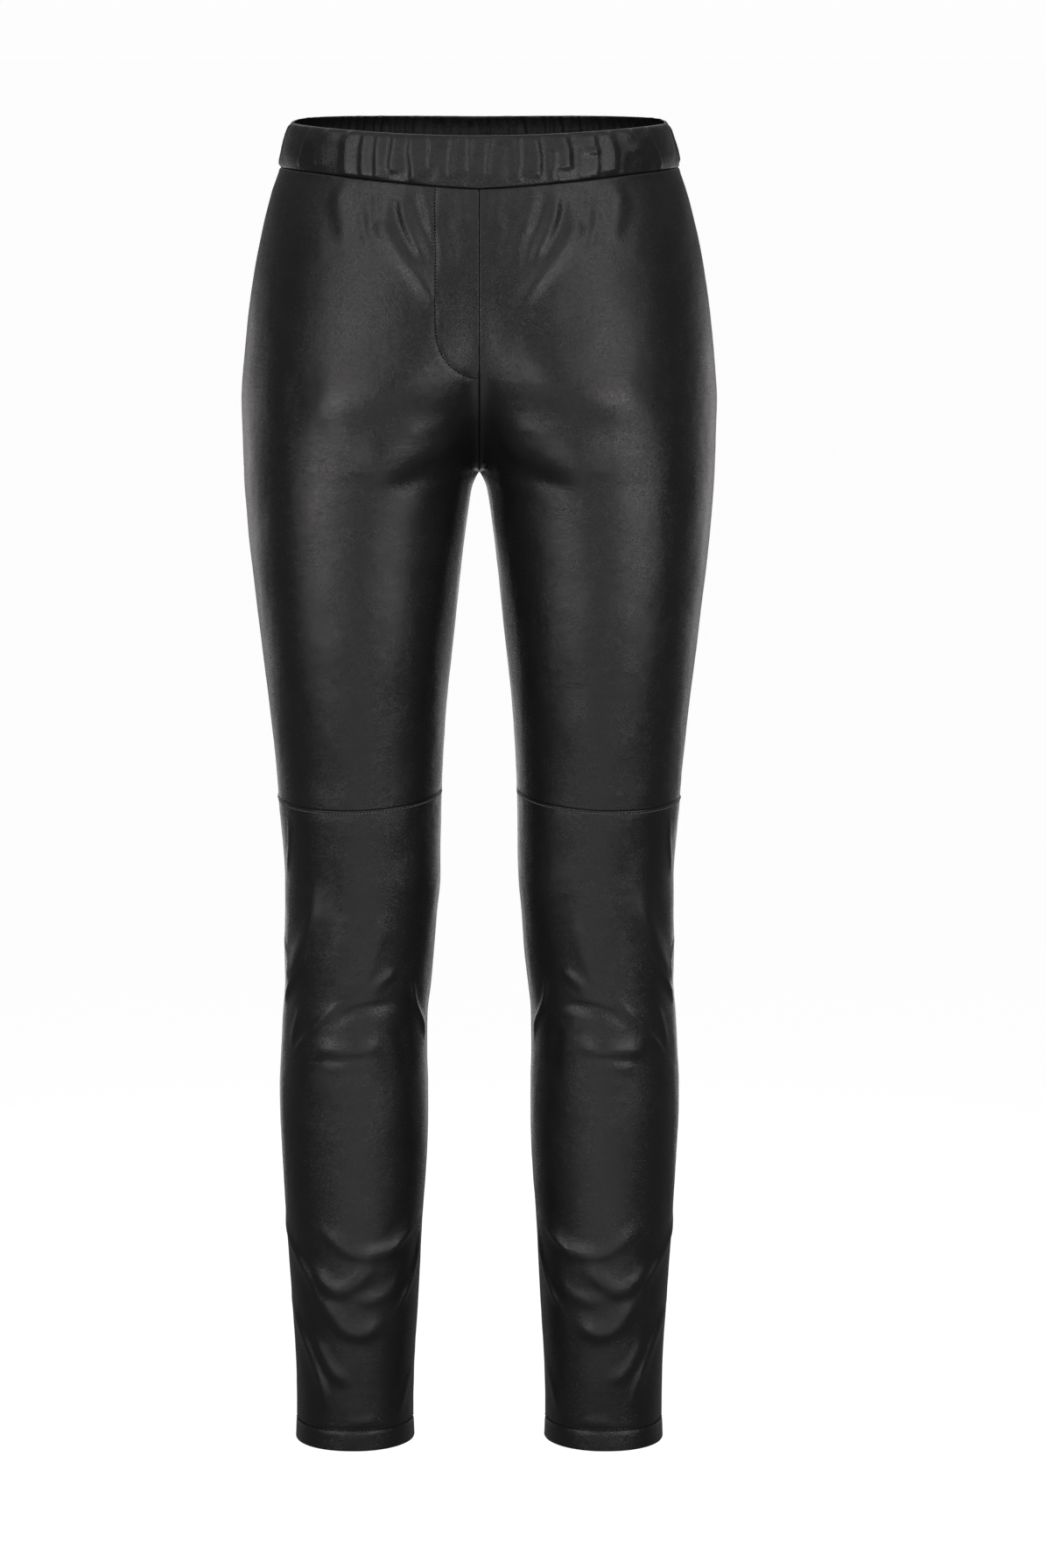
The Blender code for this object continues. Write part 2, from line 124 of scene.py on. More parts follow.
# ---------------------------------------------------------------- seams and stitches
SEAM_ROLL = 1.0           # radius with which cloth turns into a seam
LEG_SEAM_ROLL = 0.5       # the same at the seams that run down the legs
MEET_FADE = 2.5           # distance over which the two halves are drawn together at the centre
WAIST_ROLL = 1.5
TOPSTITCH_DROP = 2.1      # knee topstitching below the seam
HEM_STITCH = 15.7         # hem stitching above the hem
STITCH_PITCH = 2.35
STITCH_LENGTH = 1.6
THREAD_RADIUS = 0.50
FLY_STITCH = [(31.1, 936), (31.1, 885), (31.0, 836), (29.6, 826), (26.0, 817), (21.2, 810.5),
              (14.2, 805), (8.0, 802), (0.8, 800.3)]
FLY_FOOT, FLY_MARGIN = 790, 12            # lowest height of the fly, and room beside its stitching
LINE_POINTS, LINE_INSET = 240, 1.5        # a stitched line's points, and its distance from seams
# Depth and width of the grooves along stitches, and rise and span of the steps beside them.
HEM_GROOVE, HEM_STEP = (0.55, 0.95), (0.35, 4.0)
KNEE_GROOVE, KNEE_STEP = (0.4, 0.7), (0.3, 0.8)
FLY_GROOVE, FLY_STEP = (0.6, 1.2), (0.14, 3.0)

# ---------------------------------------------------------------- folds
# rise: height of a ridge, negative for a trough. left, right: half widths on the two sides of the
# path for someone who walks along it on the cloth. path: points as (distance from the centre
# plane, height). The paths run from the side inwards, or downwards.
Fold = namedtuple("Fold", "rise left right path")
FRONT_FOLDS = [Fold(*row) for row in (
    # tucks that run out of the waist gathers
    (-1.5, 4.2, 4.2, [(62, 934), (59, 917), (53, 898), (42, 880)]),
    (2.1, 5.4, 5.4, [(65, 926), (70, 910), (58, 893), (45, 876), (34, 861), (23, 845)]),
    (1.8, 4.0, 3.6, [(55, 937), (55, 927), (54, 917), (47, 900), (33, 880)]),
    (-1.3, 4.2, 4.2, [(47, 936), (43, 920), (37, 899), (30, 874)]),
    (1.0, 4.0, 4.0, [(41, 936), (37, 918), (31, 902)]),
    (-0.9, 4.0, 4.0, [(26, 920), (20, 899), (15, 879)]),
    (0.8, 4.0, 4.0, [(16, 936), (12, 923), (10, 906)]),
    (1.4, 6.5, 7.0, [(88, 941), (99, 929), (97, 912), (92, 896)]),
    (0.9, 3.0, 3.0, [(83, 923), (82, 909), (78, 891)]),
    (-1.1, 5.5, 5.5, [(79, 936), (77, 918), (79, 898)]),
    (0.5, 3.2, 3.2, [(73, 939), (74, 923), (75, 908)]),
    (-0.6, 4.0, 4.0, [(68, 937), (70, 920), (72, 905)]),
    (-0.3, 7.0, 7.0, [(106, 941), (108, 925), (106, 906)]),
    (0.4, 8.0, 8.0, [(112, 918), (113, 899), (110, 880)]),
    # whiskers across the hip and below it
    (2.6, 24.0, 17.0, [(134, 781), (113, 783), (98, 786), (82, 790), (63, 798), (36, 812),
                       (20, 822)]),
    (-0.6, 8.0, 9.0, [(98, 764), (80, 766), (58, 772), (34, 784)]),
    (3.1, 17.0, 11.5, [(96, 730), (83, 735), (63, 738), (44, 745), (25, 752), (8, 762)]),
    (0.5, 6.0, 6.0, [(59, 760), (42, 764), (21, 768)]),
    (-1.2, 9.0, 9.0, [(69, 720), (45, 729), (23, 739), (5, 752)]),
    # beside and below the knee
    (0.8, 2.2, 2.2, [(139, 480), (138, 461), (139, 445), (140.5, 428)]),
    (2.1, 6.0, 9.0, [(119, 430), (120, 406), (125, 387), (132, 369), (139, 348), (143, 328)]),
    (1.3, 2.0, 2.2, [(121, 380), (130, 362), (138, 346), (143, 329)]),
    (-0.9, 6.0, 5.0, [(103, 452), (105, 426), (105, 405), (110, 386), (119, 362), (130, 338)]),
    (0.7, 2.0, 2.0, [(143, 384), (139.5, 366), (140, 346)]),
    (0.8, 5.0, 6.0, [(72, 410), (74, 384), (82, 361), (97, 343)]),
    (1.0, 4.0, 4.0, [(60, 364), (72, 354), (82, 345)]),
    (-1.7, 2.6, 6.0, [(109, 318), (101, 329), (88, 335), (71, 338), (58, 336)]),
    (1.5, 2.2, 2.2, [(101, 341), (116, 325), (128, 309), (137, 295)]),
    (0.9, 3.0, 3.0, [(129, 336), (135, 317), (138, 299)]),
    (1.5, 7.0, 5.4, [(124, 301), (109, 302.5), (97, 302.5), (84, 303.5), (69, 306)]),
    (-0.8, 3.0, 3.0, [(118, 296), (97, 297), (77, 298)]),
    (0.35, 4.0, 4.0, [(115, 289), (98, 290), (84, 291)]),
    (0.25, 4.0, 5.0, [(108, 276), (92, 277), (78, 279)]),
    (0.18, 5.0, 5.0, [(111, 263), (97, 264), (85, 264)]),
    (0.22, 5.0, 5.0, [(106, 244), (95, 245), (80, 247)]),
    (1.6, 2.0, 2.2, [(50, 360), (48, 337), (42.5, 318), (40.5, 300)]),
    (-1.1, 6.0, 6.0, [(60, 322), (56, 303), (53, 280)]),
    # festoons at the ankle
    (1.7, 6.5, 5.6, [(122, 172), (104, 157), (93, 150), (80, 148), (67, 151), (56, 161),
                     (46, 181)]),
    (1.1, 2.2, 2.2, [(43, 173), (51, 164), (63, 153), (72, 142)]),
    (2.0, 7.0, 5.6, [(127, 142), (113, 125), (103, 121), (93, 126), (84, 134), (74, 142)]),
    (1.1, 5.5, 5.0, [(96, 119), (84, 113), (74, 115), (66, 119), (58, 133)]),
    (2.1, 7.0, 5.8, [(120, 122), (108, 102), (100, 92), (90, 88), (80, 91), (70, 101)]),
    (1.4, 5.0, 5.0, [(122, 86), (113, 66), (104, 55), (92, 51)]),
    (1.7, 2.8, 5.5, [(144, 174), (138, 152), (128, 135), (121, 121), (116, 102)]),
    (1.8, 3.0, 6.0, [(140, 112), (135, 97), (128, 80), (120, 60), (114, 39), (117, 21)]),
    (1.7, 3.0, 2.0, [(44, 165), (47, 143), (53, 121), (64, 99)]),
    (0.8, 4.0, 4.0, [(50, 63), (56, 38), (62, 18)]),
    (0.5, 4.0, 3.6, [(99, 21.0), (87, 20.5), (75, 20.5)]),
)]
BACK_FOLDS = [Fold(*row) for row in (
    # tucks below the waistband
    (1.5, 3.4, 3.0, [(14, 943), (16, 926), (20, 908)]),
    (-1.2, 3.0, 3.0, [(22, 943), (25, 925), (31, 906)]),
    (1.7, 3.4, 3.2, [(31, 944), (35, 924), (43, 900)]),
    (-1.4, 3.2, 3.0, [(40, 944), (45, 925), (54, 904)]),
    (1.4, 4.0, 3.4, [(50, 944), (56, 926), (66, 908)]),
    (-1.1, 3.4, 3.4, [(62, 944), (67, 928), (75, 912)]),
    (1.5, 3.6, 3.6, [(73, 945), (79, 928), (88, 908)]),
    (-1.1, 3.4, 3.4, [(86, 945), (91, 930), (97, 914)]),
    (1.2, 4.0, 4.0, [(99, 945), (103, 930), (110, 912)]),
    (0.9, 4.0, 4.0, [(118, 945), (122, 931), (127, 914)]),
    # seat
    (1.4, 9.0, 6.0, [(96, 772), (66, 775), (36, 768), (8, 752)]),
    (-2.6, 6.0, 8.0, [(128, 712), (104, 700), (76, 696), (46, 703), (16, 718)]),
    (2.0, 7.0, 7.0, [(130, 697), (104, 684), (78, 680), (48, 686), (20, 702)]),
    (-1.4, 5.0, 6.0, [(112, 670), (86, 662), (58, 664), (34, 676)]),
    (1.0, 6.0, 6.0, [(104, 654), (82, 648), (58, 652)]),
    # knee hollow
    (1.7, 3.0, 3.0, [(144, 512), (134, 492), (114, 474)]),
    (1.7, 3.0, 3.0, [(36, 514), (46, 490), (62, 474)]),
    (-2.8, 3.0, 6.0, [(134, 480), (112, 464), (86, 459), (60, 466), (40, 482)]),
    (2.5, 6.0, 4.0, [(138, 466), (112, 449), (84, 446), (58, 452), (38, 466)]),
    (-2.6, 3.0, 6.0, [(138, 442), (114, 436), (88, 440), (62, 432), (42, 422)]),
    (2.1, 5.0, 4.0, [(136, 424), (110, 420), (86, 424), (62, 413), (44, 400)]),
    (-1.6, 4.0, 5.0, [(126, 405), (100, 402), (76, 404)]),
    (1.4, 6.0, 5.0, [(120, 392), (96, 388), (70, 392)]),
    (1.5, 3.0, 3.6, [(143, 400), (132, 376), (124, 350)]),
    (1.3, 3.2, 3.0, [(42, 392), (52, 366), (58, 344)]),
    # ankle
    (2.6, 5.0, 3.4, [(134, 192), (124, 177), (98, 164), (76, 167), (54, 184)]),
    (1.4, 3.0, 3.0, [(48, 205), (56, 184), (66, 170)]),
    (2.2, 5.0, 3.4, [(130, 152), (106, 126), (82, 126), (58, 142)]),
    (1.5, 3.0, 4.0, [(137, 160), (130, 136), (120, 114)]),
    (2.5, 5.0, 3.4, [(126, 112), (106, 91), (84, 88), (62, 102)]),
    (1.2, 5.0, 5.0, [(98, 58), (76, 56), (56, 72)]),
    (1.3, 3.0, 4.0, [(134, 104), (127, 76), (118, 46)]),
)]
CRISP, SOFT = 1.6, 2.0     # exponents of a fold's profile: crisp for narrow ones, soft for broad
CRISP_WIDTH, SOFT_WIDTH = 1.5, 5.0
LEG_EASE = 0.7            # the shins are this much fuller than the sections
FOLD_FADE = 0.32          # share of a fold's length over which each end fades out
PATH_STEP = 3.0
FOLD_REACH = 2.6          # half widths of a fold beyond which it moves nothing
FOLD_MARGIN = 20.0        # folds further than this above or below a panel are passed over
UNEVEN = np.array((2.5, 4.0, 0.2))        # most that a back fold is off across, up, in rise
UNEVEN_SEED = {"left": 7, "right": 11}
CALM_EDGE, CALM_WAIST = 7.0, 2.5          # distances from seams over which folds die out
EASE_TOP, EASE_SPAN = 520.0, 60.0         # where the shins begin to be fuller
# Soft undulations of the cloth, which die out over WAVE_EDGE towards the seams.
Ripple = namedtuple("Ripple", "height length seed")
CLOTH_RIPPLES = (Ripple(0.22, 46.0, 3), Ripple(0.05, 13.0, 5))
SEAM_RIPPLES = (Ripple(0.16, 9.0, 9),)
BAND_RIPPLES = (Ripple(0.12, 14.0, 21), Ripple(0.25, 60.0, 22))
RIPPLE_WAVES = 18
WAVE_EDGE = 12.0
WEAR_AND_SHADE_FOLD, WEAR_AND_SHADE_GATHER = 2.5, 1.6         # rises at which crests are fully worn lighter and troughs fully darkened by painted shade

# Gathers of the waistband. rise: height of the crest. outer, inner: half widths away from the
# centre and towards it. path: points as (distance from the centre, height), to the wearer's left.
Gather = namedtuple("Gather", "rise outer inner path")
FRONT_GATHERS = [Gather(*row) for row in (
    (0.8, 1.5, 3.0, [(-126, 981), (-135, 965), (-142, 951)]),
    (1.6, 2.6, 9.0, [(-104, 981), (-110, 976.5), (-115, 971), (-118.5, 963), (-121, 952)]),
    (2.9, 3.2, 8.0, [(-89.8, 977), (-93.6, 972), (-96.2, 966.5), (-96.8, 957), (-97.6, 944)]),
    (2.5, 3.0, 6.4, [(-79.1, 976), (-81, 970.5), (-82.3, 963), (-83, 951), (-83, 944)]),
    (2.6, 2.8, 6.0, [(-69.1, 976), (-70.7, 971), (-71.6, 963), (-72.2, 951), (-72.4, 943)]),
    (2.6, 2.8, 7.0, [(-59.1, 973), (-59.7, 965), (-61, 958), (-61.6, 949)]),
    (2.4, 2.6, 7.0, [(-46.6, 973), (-47.3, 967.5), (-47.9, 959.5), (-46.6, 951.5), (-46, 943)]),
    (1.3, 1.4, 4.2, [(-34.2, 973), (-34.4, 961.5), (-35.1, 952)]),
    (0.9, 3.0, 4.0, [(-28, 962), (-27, 952), (-28, 943)]),
    (1.2, 1.4, 3.4, [(-18.6, 973), (-19.9, 963), (-20.8, 956.5), (-21.1, 947)]),
    (1.1, 1.2, 2.4, [(-7.1, 973), (-7.5, 961.5), (-7.6, 951)]),
    (0.9, 5.0, 5.0, [(-2, 957), (-3, 950), (-3, 942)]),
    (1.2, 2.4, 1.4, [(8.5, 972), (6.7, 964.5), (5.6, 958), (5.2, 947)]),
    (0.9, 4.5, 4.5, [(14.3, 964), (14.3, 953), (14.9, 942)]),
    (1.3, 1.4, 3.6, [(27.6, 972), (28.3, 961.5), (28.3, 951.5), (26.7, 943)]),
    (2.4, 2.6, 7.0, [(38.5, 973), (40, 965), (41.5, 956.5), (41, 946)]),
    (1.2, 2.6, 3.0, [(52.2, 959), (52.2, 949), (52.2, 940)]),
    (2.8, 3.0, 8.0, [(58.5, 974), (60.4, 967.5), (62, 961), (62.5, 951)]),
    (0.8, 3.0, 3.0, [(73.5, 958), (73.8, 950), (73.6, 943)]),
    (2.5, 3.0, 7.0, [(78.5, 977), (80.4, 970.5), (82, 961)]),
    (1.4, 2.2, 5.0, [(83.4, 960), (84, 950), (84.4, 944)]),
    (2.8, 3.0, 8.0, [(90.1, 978), (92.6, 972), (95.1, 966.5), (97.2, 958), (97.6, 948)]),
    (1.7, 2.4, 9.0, [(106.8, 980), (110.8, 975), (115, 969.5), (119.5, 962)]),
    (0.7, 3.0, 3.0, [(106, 956), (106, 950), (106, 945)]),
    (0.9, 1.5, 3.0, [(126, 981), (129.6, 973), (135, 963), (140.4, 956), (143.5, 949)]),
)]
GATHER_FADE = 5.0
GATHER_POWER = 2.0
GATHER_GAIN = 0.88
GATHER_SPREAD = 1.2       # widens every gather of the table
# How far apart the gathers that the photograph hardly shows are, and how high.
OUTER_PITCH, OUTER_RISE = (6.5, 10.5), (1.2, 2.4)
INNER_PITCH, INNER_RISE = (4.5, 8.5), (0.8, 1.6)
FLARE = 1.7               # how much the inner face of the band opens out towards its top
BAND_HEIGHT = 36.0
BAND_END = 14.0           # distance from a side seam over which gathers die out
GATHER_END = 4.0          # least distance of a gather from a side seam
LEAST_WALL = 0.15
EDGE_THINNING = 0.95      # share of a rounded edge's turn that its wall loses on each face
# How far the band swells out, near the middle and at the side seams, at shares of its height.
PROFILE_HEIGHTS = (0.0, 0.07, 0.15, 0.27, 0.5, 0.75, 0.9, 1.0)
BAND_PROFILE = (0.2, 1.0, 1.75, 2.4, 2.8, 2.5, 2.0, 1.4)
SIDE_PROFILE = (0.2, 0.8, 1.1, 0.9, 0.0, -0.8, -1.5, -2.2)
SIDE_REACH = 55.0         # distance from a side seam over which the band changes its profile


# ---------------------------------------------------------------- sections
def slopes(heights, values):
    steps = np.diff(values) / np.diff(heights)
    inner = np.where(steps[:-1] * steps[1:] > 0, 0.5 * (steps[:-1] + steps[1:]), 0.0)
    limit = 3 * np.minimum(np.abs(steps[:-1]), np.abs(steps[1:]))
    inner = np.sign(inner) * np.minimum(np.abs(inner), limit)
    return np.concatenate(([steps[0]], inner, [steps[-1]]))


def column(name, heights):
    """One column of the section table at any heights, on a smooth curve."""
    rows = sorted(SECTIONS)
    known = np.array([row.height for row in rows], dtype=float)
    values = np.array([getattr(row, name) for row in rows], dtype=float)
    slope = slopes(known, values)
    at = np.clip(np.searchsorted(known, heights) - 1, 0, len(known) - 2)
    span = known[at + 1] - known[at]
    t = (heights - known[at]) / span
    return ((1 + 2 * t) * (1 - t) ** 2 * values[at] + t * (1 - t) ** 2 * span * slope[at]
            + t * t * (3 - 2 * t) * values[at + 1] + t * t * (t - 1) * span * slope[at + 1])


def make_levels():
    spread = np.linspace(-1, 1, ARCH_LEVELS)
    return np.unique(np.concatenate((np.arange(LOWEST, HIGHEST, LEVEL_STEP),
                                     CROTCH + ARCH_SPAN * spread * np.abs(spread))))


LEVELS = make_levels()
COLUMNS = {name: column(name, LEVELS) for name in Section._fields[1:]}


def run_length(points):
    return np.concatenate(([0.0], np.cumsum(np.linalg.norm(np.diff(points, axis=0), axis=1))))


def half_arc(level, facing):
    """A section from the side seam to the centre plane or the innermost point."""
    at = {name: values[level] for name, values in COLUMNS.items()}
    depth, crest = ((at["front"], at["front_crest"]) if facing < 0
                    else (at["back"], at["back_crest"]))
    middle = 0.5 * (at["back"] - at["front"])
    reach = depth - facing * middle
    turn = np.linspace(0, 0.5 * math.pi, ARC_STEPS)
    outer = np.column_stack((
        crest + (at["side"] - crest) * np.cos(turn) ** (2 / OUTER_ROUNDNESS),
        middle + facing * reach * np.sin(turn) ** (2 / OUTER_ROUNDNESS)))
    split = min(at["split"], 1.0)
    if split < LEAST_SPLIT:
        return outer
    half_width = crest - at["inner"] if LEVELS[level] < CROTCH else crest / split
    turn = np.linspace(0, math.asin(split), ARC_STEPS)[1:]
    inner = np.column_stack((crest - half_width * np.sin(turn),
                             middle + facing * reach * np.cos(turn)))
    return np.vstack((outer, inner))


def round_arch(points):
    across = np.maximum(points[:, 0], 0.0)
    points[:, 0] = np.sqrt(across ** 2 + 2 * ARCH_ROUND * across * np.exp(-across / ARCH_REACH))
    return points


def panel_arc(level, facing):
    """A panel's section, from the side seam to its inner edge."""
    arc = round_arch(half_arc(level, facing))
    shift = COLUMNS["inseam"][level] if LEVELS[level] < CROTCH else 0.0
    if shift > 0:
        other = round_arch(half_arc(level, -facing))
        loop = np.vstack((arc, other[::-1][1:]))
        end = run_length(arc)[-1] + facing * shift
        run = run_length(loop)
        tip = [np.interp(end, run, loop[:, k]) for k in (0, 1)]
        arc = np.vstack((loop[run < end], tip))
    return arc


class Wall:
    """The front (-1) or back (1) surface of the wearer's left half.

    A place on it is a run, the distance round from the side seam, and a height."""

    def __init__(self, facing):
        self.facing = facing
        points, lengths = [], []
        for level in range(len(LEVELS)):
            arc = panel_arc(level, facing)
            run = run_length(arc)
            even = np.linspace(0, run[-1], FRACTIONS)
            points.append(np.column_stack([np.interp(even, run, arc[:, k]) for k in (0, 1)]))
            lengths.append(run[-1])
        self.points = np.array(points)
        self.lengths = np.array(lengths)

    def girth(self, height):
        return np.interp(height, LEVELS, self.lengths)

    def at(self, run, height):
        run, height = np.broadcast_arrays(np.asarray(run, float), np.asarray(height, float))
        height = np.clip(height, LEVELS[0], LEVELS[-1])
        low = np.clip(np.searchsorted(LEVELS, height) - 1, 0, len(LEVELS) - 2)
        up = (height - LEVELS[low]) / (LEVELS[low + 1] - LEVELS[low])
        place = np.clip(run / self.girth(height), 0, 1) * (FRACTIONS - 1)
        left = np.clip(place.astype(int), 0, FRACTIONS - 2)
        over = place - left
        up, over = up[..., None], over[..., None]
        flat = ((1 - up) * ((1 - over) * self.points[low, left] + over * self.points[low, left + 1])
                + up * ((1 - over) * self.points[low + 1, left]
                        + over * self.points[low + 1, left + 1]))
        return np.concatenate((flat, height[..., None]), axis=-1)

    def normal(self, run, height, reach=0.6):
        over = self.at(run + reach, height) - self.at(run - reach, height)
        up = self.at(run, height + reach) - self.at(run, height - reach)
        normal = np.cross(over, up) * self.facing
        return normal / np.linalg.norm(normal, axis=-1, keepdims=True)

    def run_at(self, across, height):
        """Run of the point at a distance from the centre plane."""
        girth = self.girth(height)
        runs = np.linspace(0, girth, PROBES)
        return float(np.interp(-across, -self.at(runs, height)[:, 0], runs))


WALLS = {facing: Wall(facing) for facing in (-1, 1)}


# ---------------------------------------------------------------- relief
def smoothstep(x):
    x = np.clip(x, 0.0, 1.0)
    return x * x * (3 - 2 * x)


def laid_path(wall, places):
    """A fine path of runs and heights on a smooth curve through places of the fold table's kind."""
    points = np.array([(wall.run_at(x, h), h) for x, h in places], dtype=float)
    ends = np.vstack((2 * points[0] - points[1], points, 2 * points[-1] - points[-2]))
    fine = []
    for a, b, c, d in zip(ends, ends[1:], ends[2:], ends[3:]):
        steps = max(int(np.linalg.norm(c - b) / PATH_STEP), 1)
        for t in np.arange(steps) / steps:
            fine.append(0.5 * (2 * b + (c - a) * t + (2 * a - 5 * b + 4 * c - d) * t * t
                               + (3 * b - a - 3 * c + d) * t ** 3))
    return np.vstack((fine, points[-1]))


def nearest(path, x, h):
    """Distance of places from a path, their side of it, how far along it, and its length."""
    best = np.full(x.shape, 1e9)
    side, travelled = np.zeros(x.shape), np.zeros(x.shape)
    walked = 0.0
    for a, b in zip(path, path[1:]):
        step = b - a
        size = float(np.hypot(*step))
        t = np.clip(((x - a[0]) * step[0] + (h - a[1]) * step[1]) / size ** 2, 0, 1)
        dx, dh = x - a[0] - t * step[0], h - a[1] - t * step[1]
        away = np.hypot(dx, dh)
        closer = away < best
        best = np.where(closer, away, best)
        side = np.where(closer, step[0] * dh - step[1] * dx, side)
        travelled = np.where(closer, walked + t * size, travelled)
        walked += size
    return best, side, travelled, walked


def fold_relief(run, height, fold, wall):
    """How far one fold moves each place."""
    path = laid_path(wall, fold.path)
    reach = FOLD_REACH * max(fold.left, fold.right)
    near = np.where((run > path[:, 0].min() - reach) & (run < path[:, 0].max() + reach)
                    & (height > path[:, 1].min() - reach) & (height < path[:, 1].max() + reach))
    away, side, travelled, length = nearest(path, run[near], height[near])
    width = np.where(side > 0, fold.left, fold.right)
    power = np.interp(width, (CRISP_WIDTH, SOFT_WIDTH), (CRISP, SOFT))
    fade = smoothstep(np.minimum(travelled, length - travelled) / (FOLD_FADE * length) + 0.05)
    relief = np.zeros(run.shape)
    relief[near] = fold.rise * fade * np.exp(-(away / width) ** power)
    return relief


def roll(distance, radius):
    """How far cloth has turned inwards at a distance from its seam."""
    short = np.clip(radius - distance, 0, radius)
    return radius - np.sqrt(radius ** 2 - short ** 2)


def groove(distance, depth, width):
    """Depth of the line that a row of stitches presses into the cloth."""
    return depth * np.exp(-(distance / width) ** 2)


def step_up(distance, rise, span):
    """Rise of the cloth on to a second layer below it."""
    return rise * smoothstep(distance / span)


def fly_relief(run, height, wall):
    """The sunk line of the mock fly's stitching and the second layer that it holds."""
    path = laid_path(wall, FLY_STITCH)
    near = (height > FLY_FOOT) & (run > path[:, 0].min() - FLY_MARGIN)
    away, side, _, _ = nearest(path, run[near], height[near])
    relief = np.zeros(run.shape)
    relief[near] = (step_up(np.where(side > 0, away, -away) + 1.0, *FLY_STEP)
                    - groove(away, *FLY_GROOVE))
    return relief


def waves(points, ripples):
    """Soft irregular undulation, the sum of some ripples."""
    total = 0.0
    for ripple in ripples:
        draw = np.random.default_rng(ripple.seed)
        part = np.zeros(points.shape[:-1])
        for _ in range(RIPPLE_WAVES):
            direction = draw.normal(size=3)
            direction *= (2 * math.pi / (ripple.length * draw.uniform(0.7, 1.5))
                          / np.linalg.norm(direction))
            part += np.sin(points @ direction + draw.uniform(0, 2 * math.pi))
        total = total + ripple.height * (part / math.sqrt(RIPPLE_WAVES))
    return total


# ---------------------------------------------------------------- panels
# cut: width and length of the flat piece in metres, and its area in square metres.
Panel = namedtuple("Panel", "name top bottom facing step folds top_roll hem cut hangs_from")
PANELS = [
    Panel("front_thigh", WAIST_SEAM_FRONT, KNEE_SEAM, -1, FRONT_STEP, FRONT_FOLDS, WAIST_ROLL,
          False, (0.305, 0.482, 0.124), "waistband_front_cloth"),
    Panel("front_shin", KNEE_SEAM, HEM, -1, SHIN_STEP, FRONT_FOLDS, SEAM_ROLL, True,
          (0.214, 0.53, 0.096), "front_thigh_{}_cloth"),
    Panel("back_leg", WAIST_SEAM_BACK, HEM, 1, BACK_STEP, BACK_FOLDS, WAIST_ROLL, True,
          (0.304, 0.985, 0.222), "waistband_back_cloth"),
]


def ease(u):
    return 0.5 - 0.5 * np.cos(np.pi * u)


def bow(seam, u):
    return (seam.middle - 0.5 * (seam.side + seam.inner)) * np.sin(np.pi * u)


def seam_height(seam, u):
    return seam.side + (seam.inner - seam.side) * ease(u) + bow(seam, u)


def spaced(wall, top, bottom, dense_end, step):
    """Heights from top to bottom, evenly spaced along the inner edge."""
    t = np.linspace(0, 1, PROBES)
    share = t if dense_end is None else (t * t if dense_end == "top" else 1 - (1 - t) ** 2)
    heights = top - (top - bottom) * share
    run = run_length(wall.at(wall.girth(heights), heights))
    return np.interp(np.linspace(0, run[-1], max(int(round(run[-1] / step)), 2) + 1), run, heights)


def panel_places(panel):
    """Run and height of every point of a panel."""
    wall = WALLS[panel.facing]
    edge = np.array(EDGE)
    top, bottom = panel.top.inner, panel.bottom.inner
    if top > CROTCH:
        inside = np.concatenate((
            spaced(wall, top - edge[-1], CROTCH, "bottom", panel.step)[1:],
            spaced(wall, CROTCH, bottom + edge[-1], "top", panel.step)[1:-1]))
    else:
        inside = spaced(wall, top - edge[-1], bottom + edge[-1], None, panel.step)[1:-1]
    inner = np.concatenate((top - edge, inside, bottom + edge[::-1]))
    share = (top - inner) / (top - bottom)
    rows = np.interp(np.arange(len(inner)), [len(edge) - 1, len(inner) - len(edge)],
                     [share[len(edge) - 1], share[-len(edge)]])
    middle = slice(len(edge), -len(edge))
    share_side = share.copy()
    share_side[middle] = 0.5 * (share[middle] + rows[middle])
    side = panel.top.side - (panel.top.side - panel.bottom.side) * share_side
    side[:len(edge)] = panel.top.side - edge
    side[-len(edge):] = panel.bottom.side + edge[::-1]

    middle_height = 0.5 * (panel.top.side + panel.bottom.side)
    width = float(wall.girth(np.array([panel.top.side, middle_height])).max())
    count = int(round((width - 2 * edge[-1]) / panel.step))
    t = np.linspace(0, 1, count + 1)[1:-1]
    offset = np.concatenate((edge, edge[-1] * (1 - 2 * t), -edge[::-1]))
    share_across = np.concatenate((np.zeros(len(edge)), t, np.ones(len(edge))))
    u = (offset + share_across * width) / width
    down = share_side[:, None]
    height = (side[:, None] + (inner - side)[:, None] * ease(u)[None, :]
              + (1 - down) * bow(panel.top, u) + down * bow(panel.bottom, u))
    run = offset[None, :] + share_across[None, :] * wall.girth(height)
    return run, height


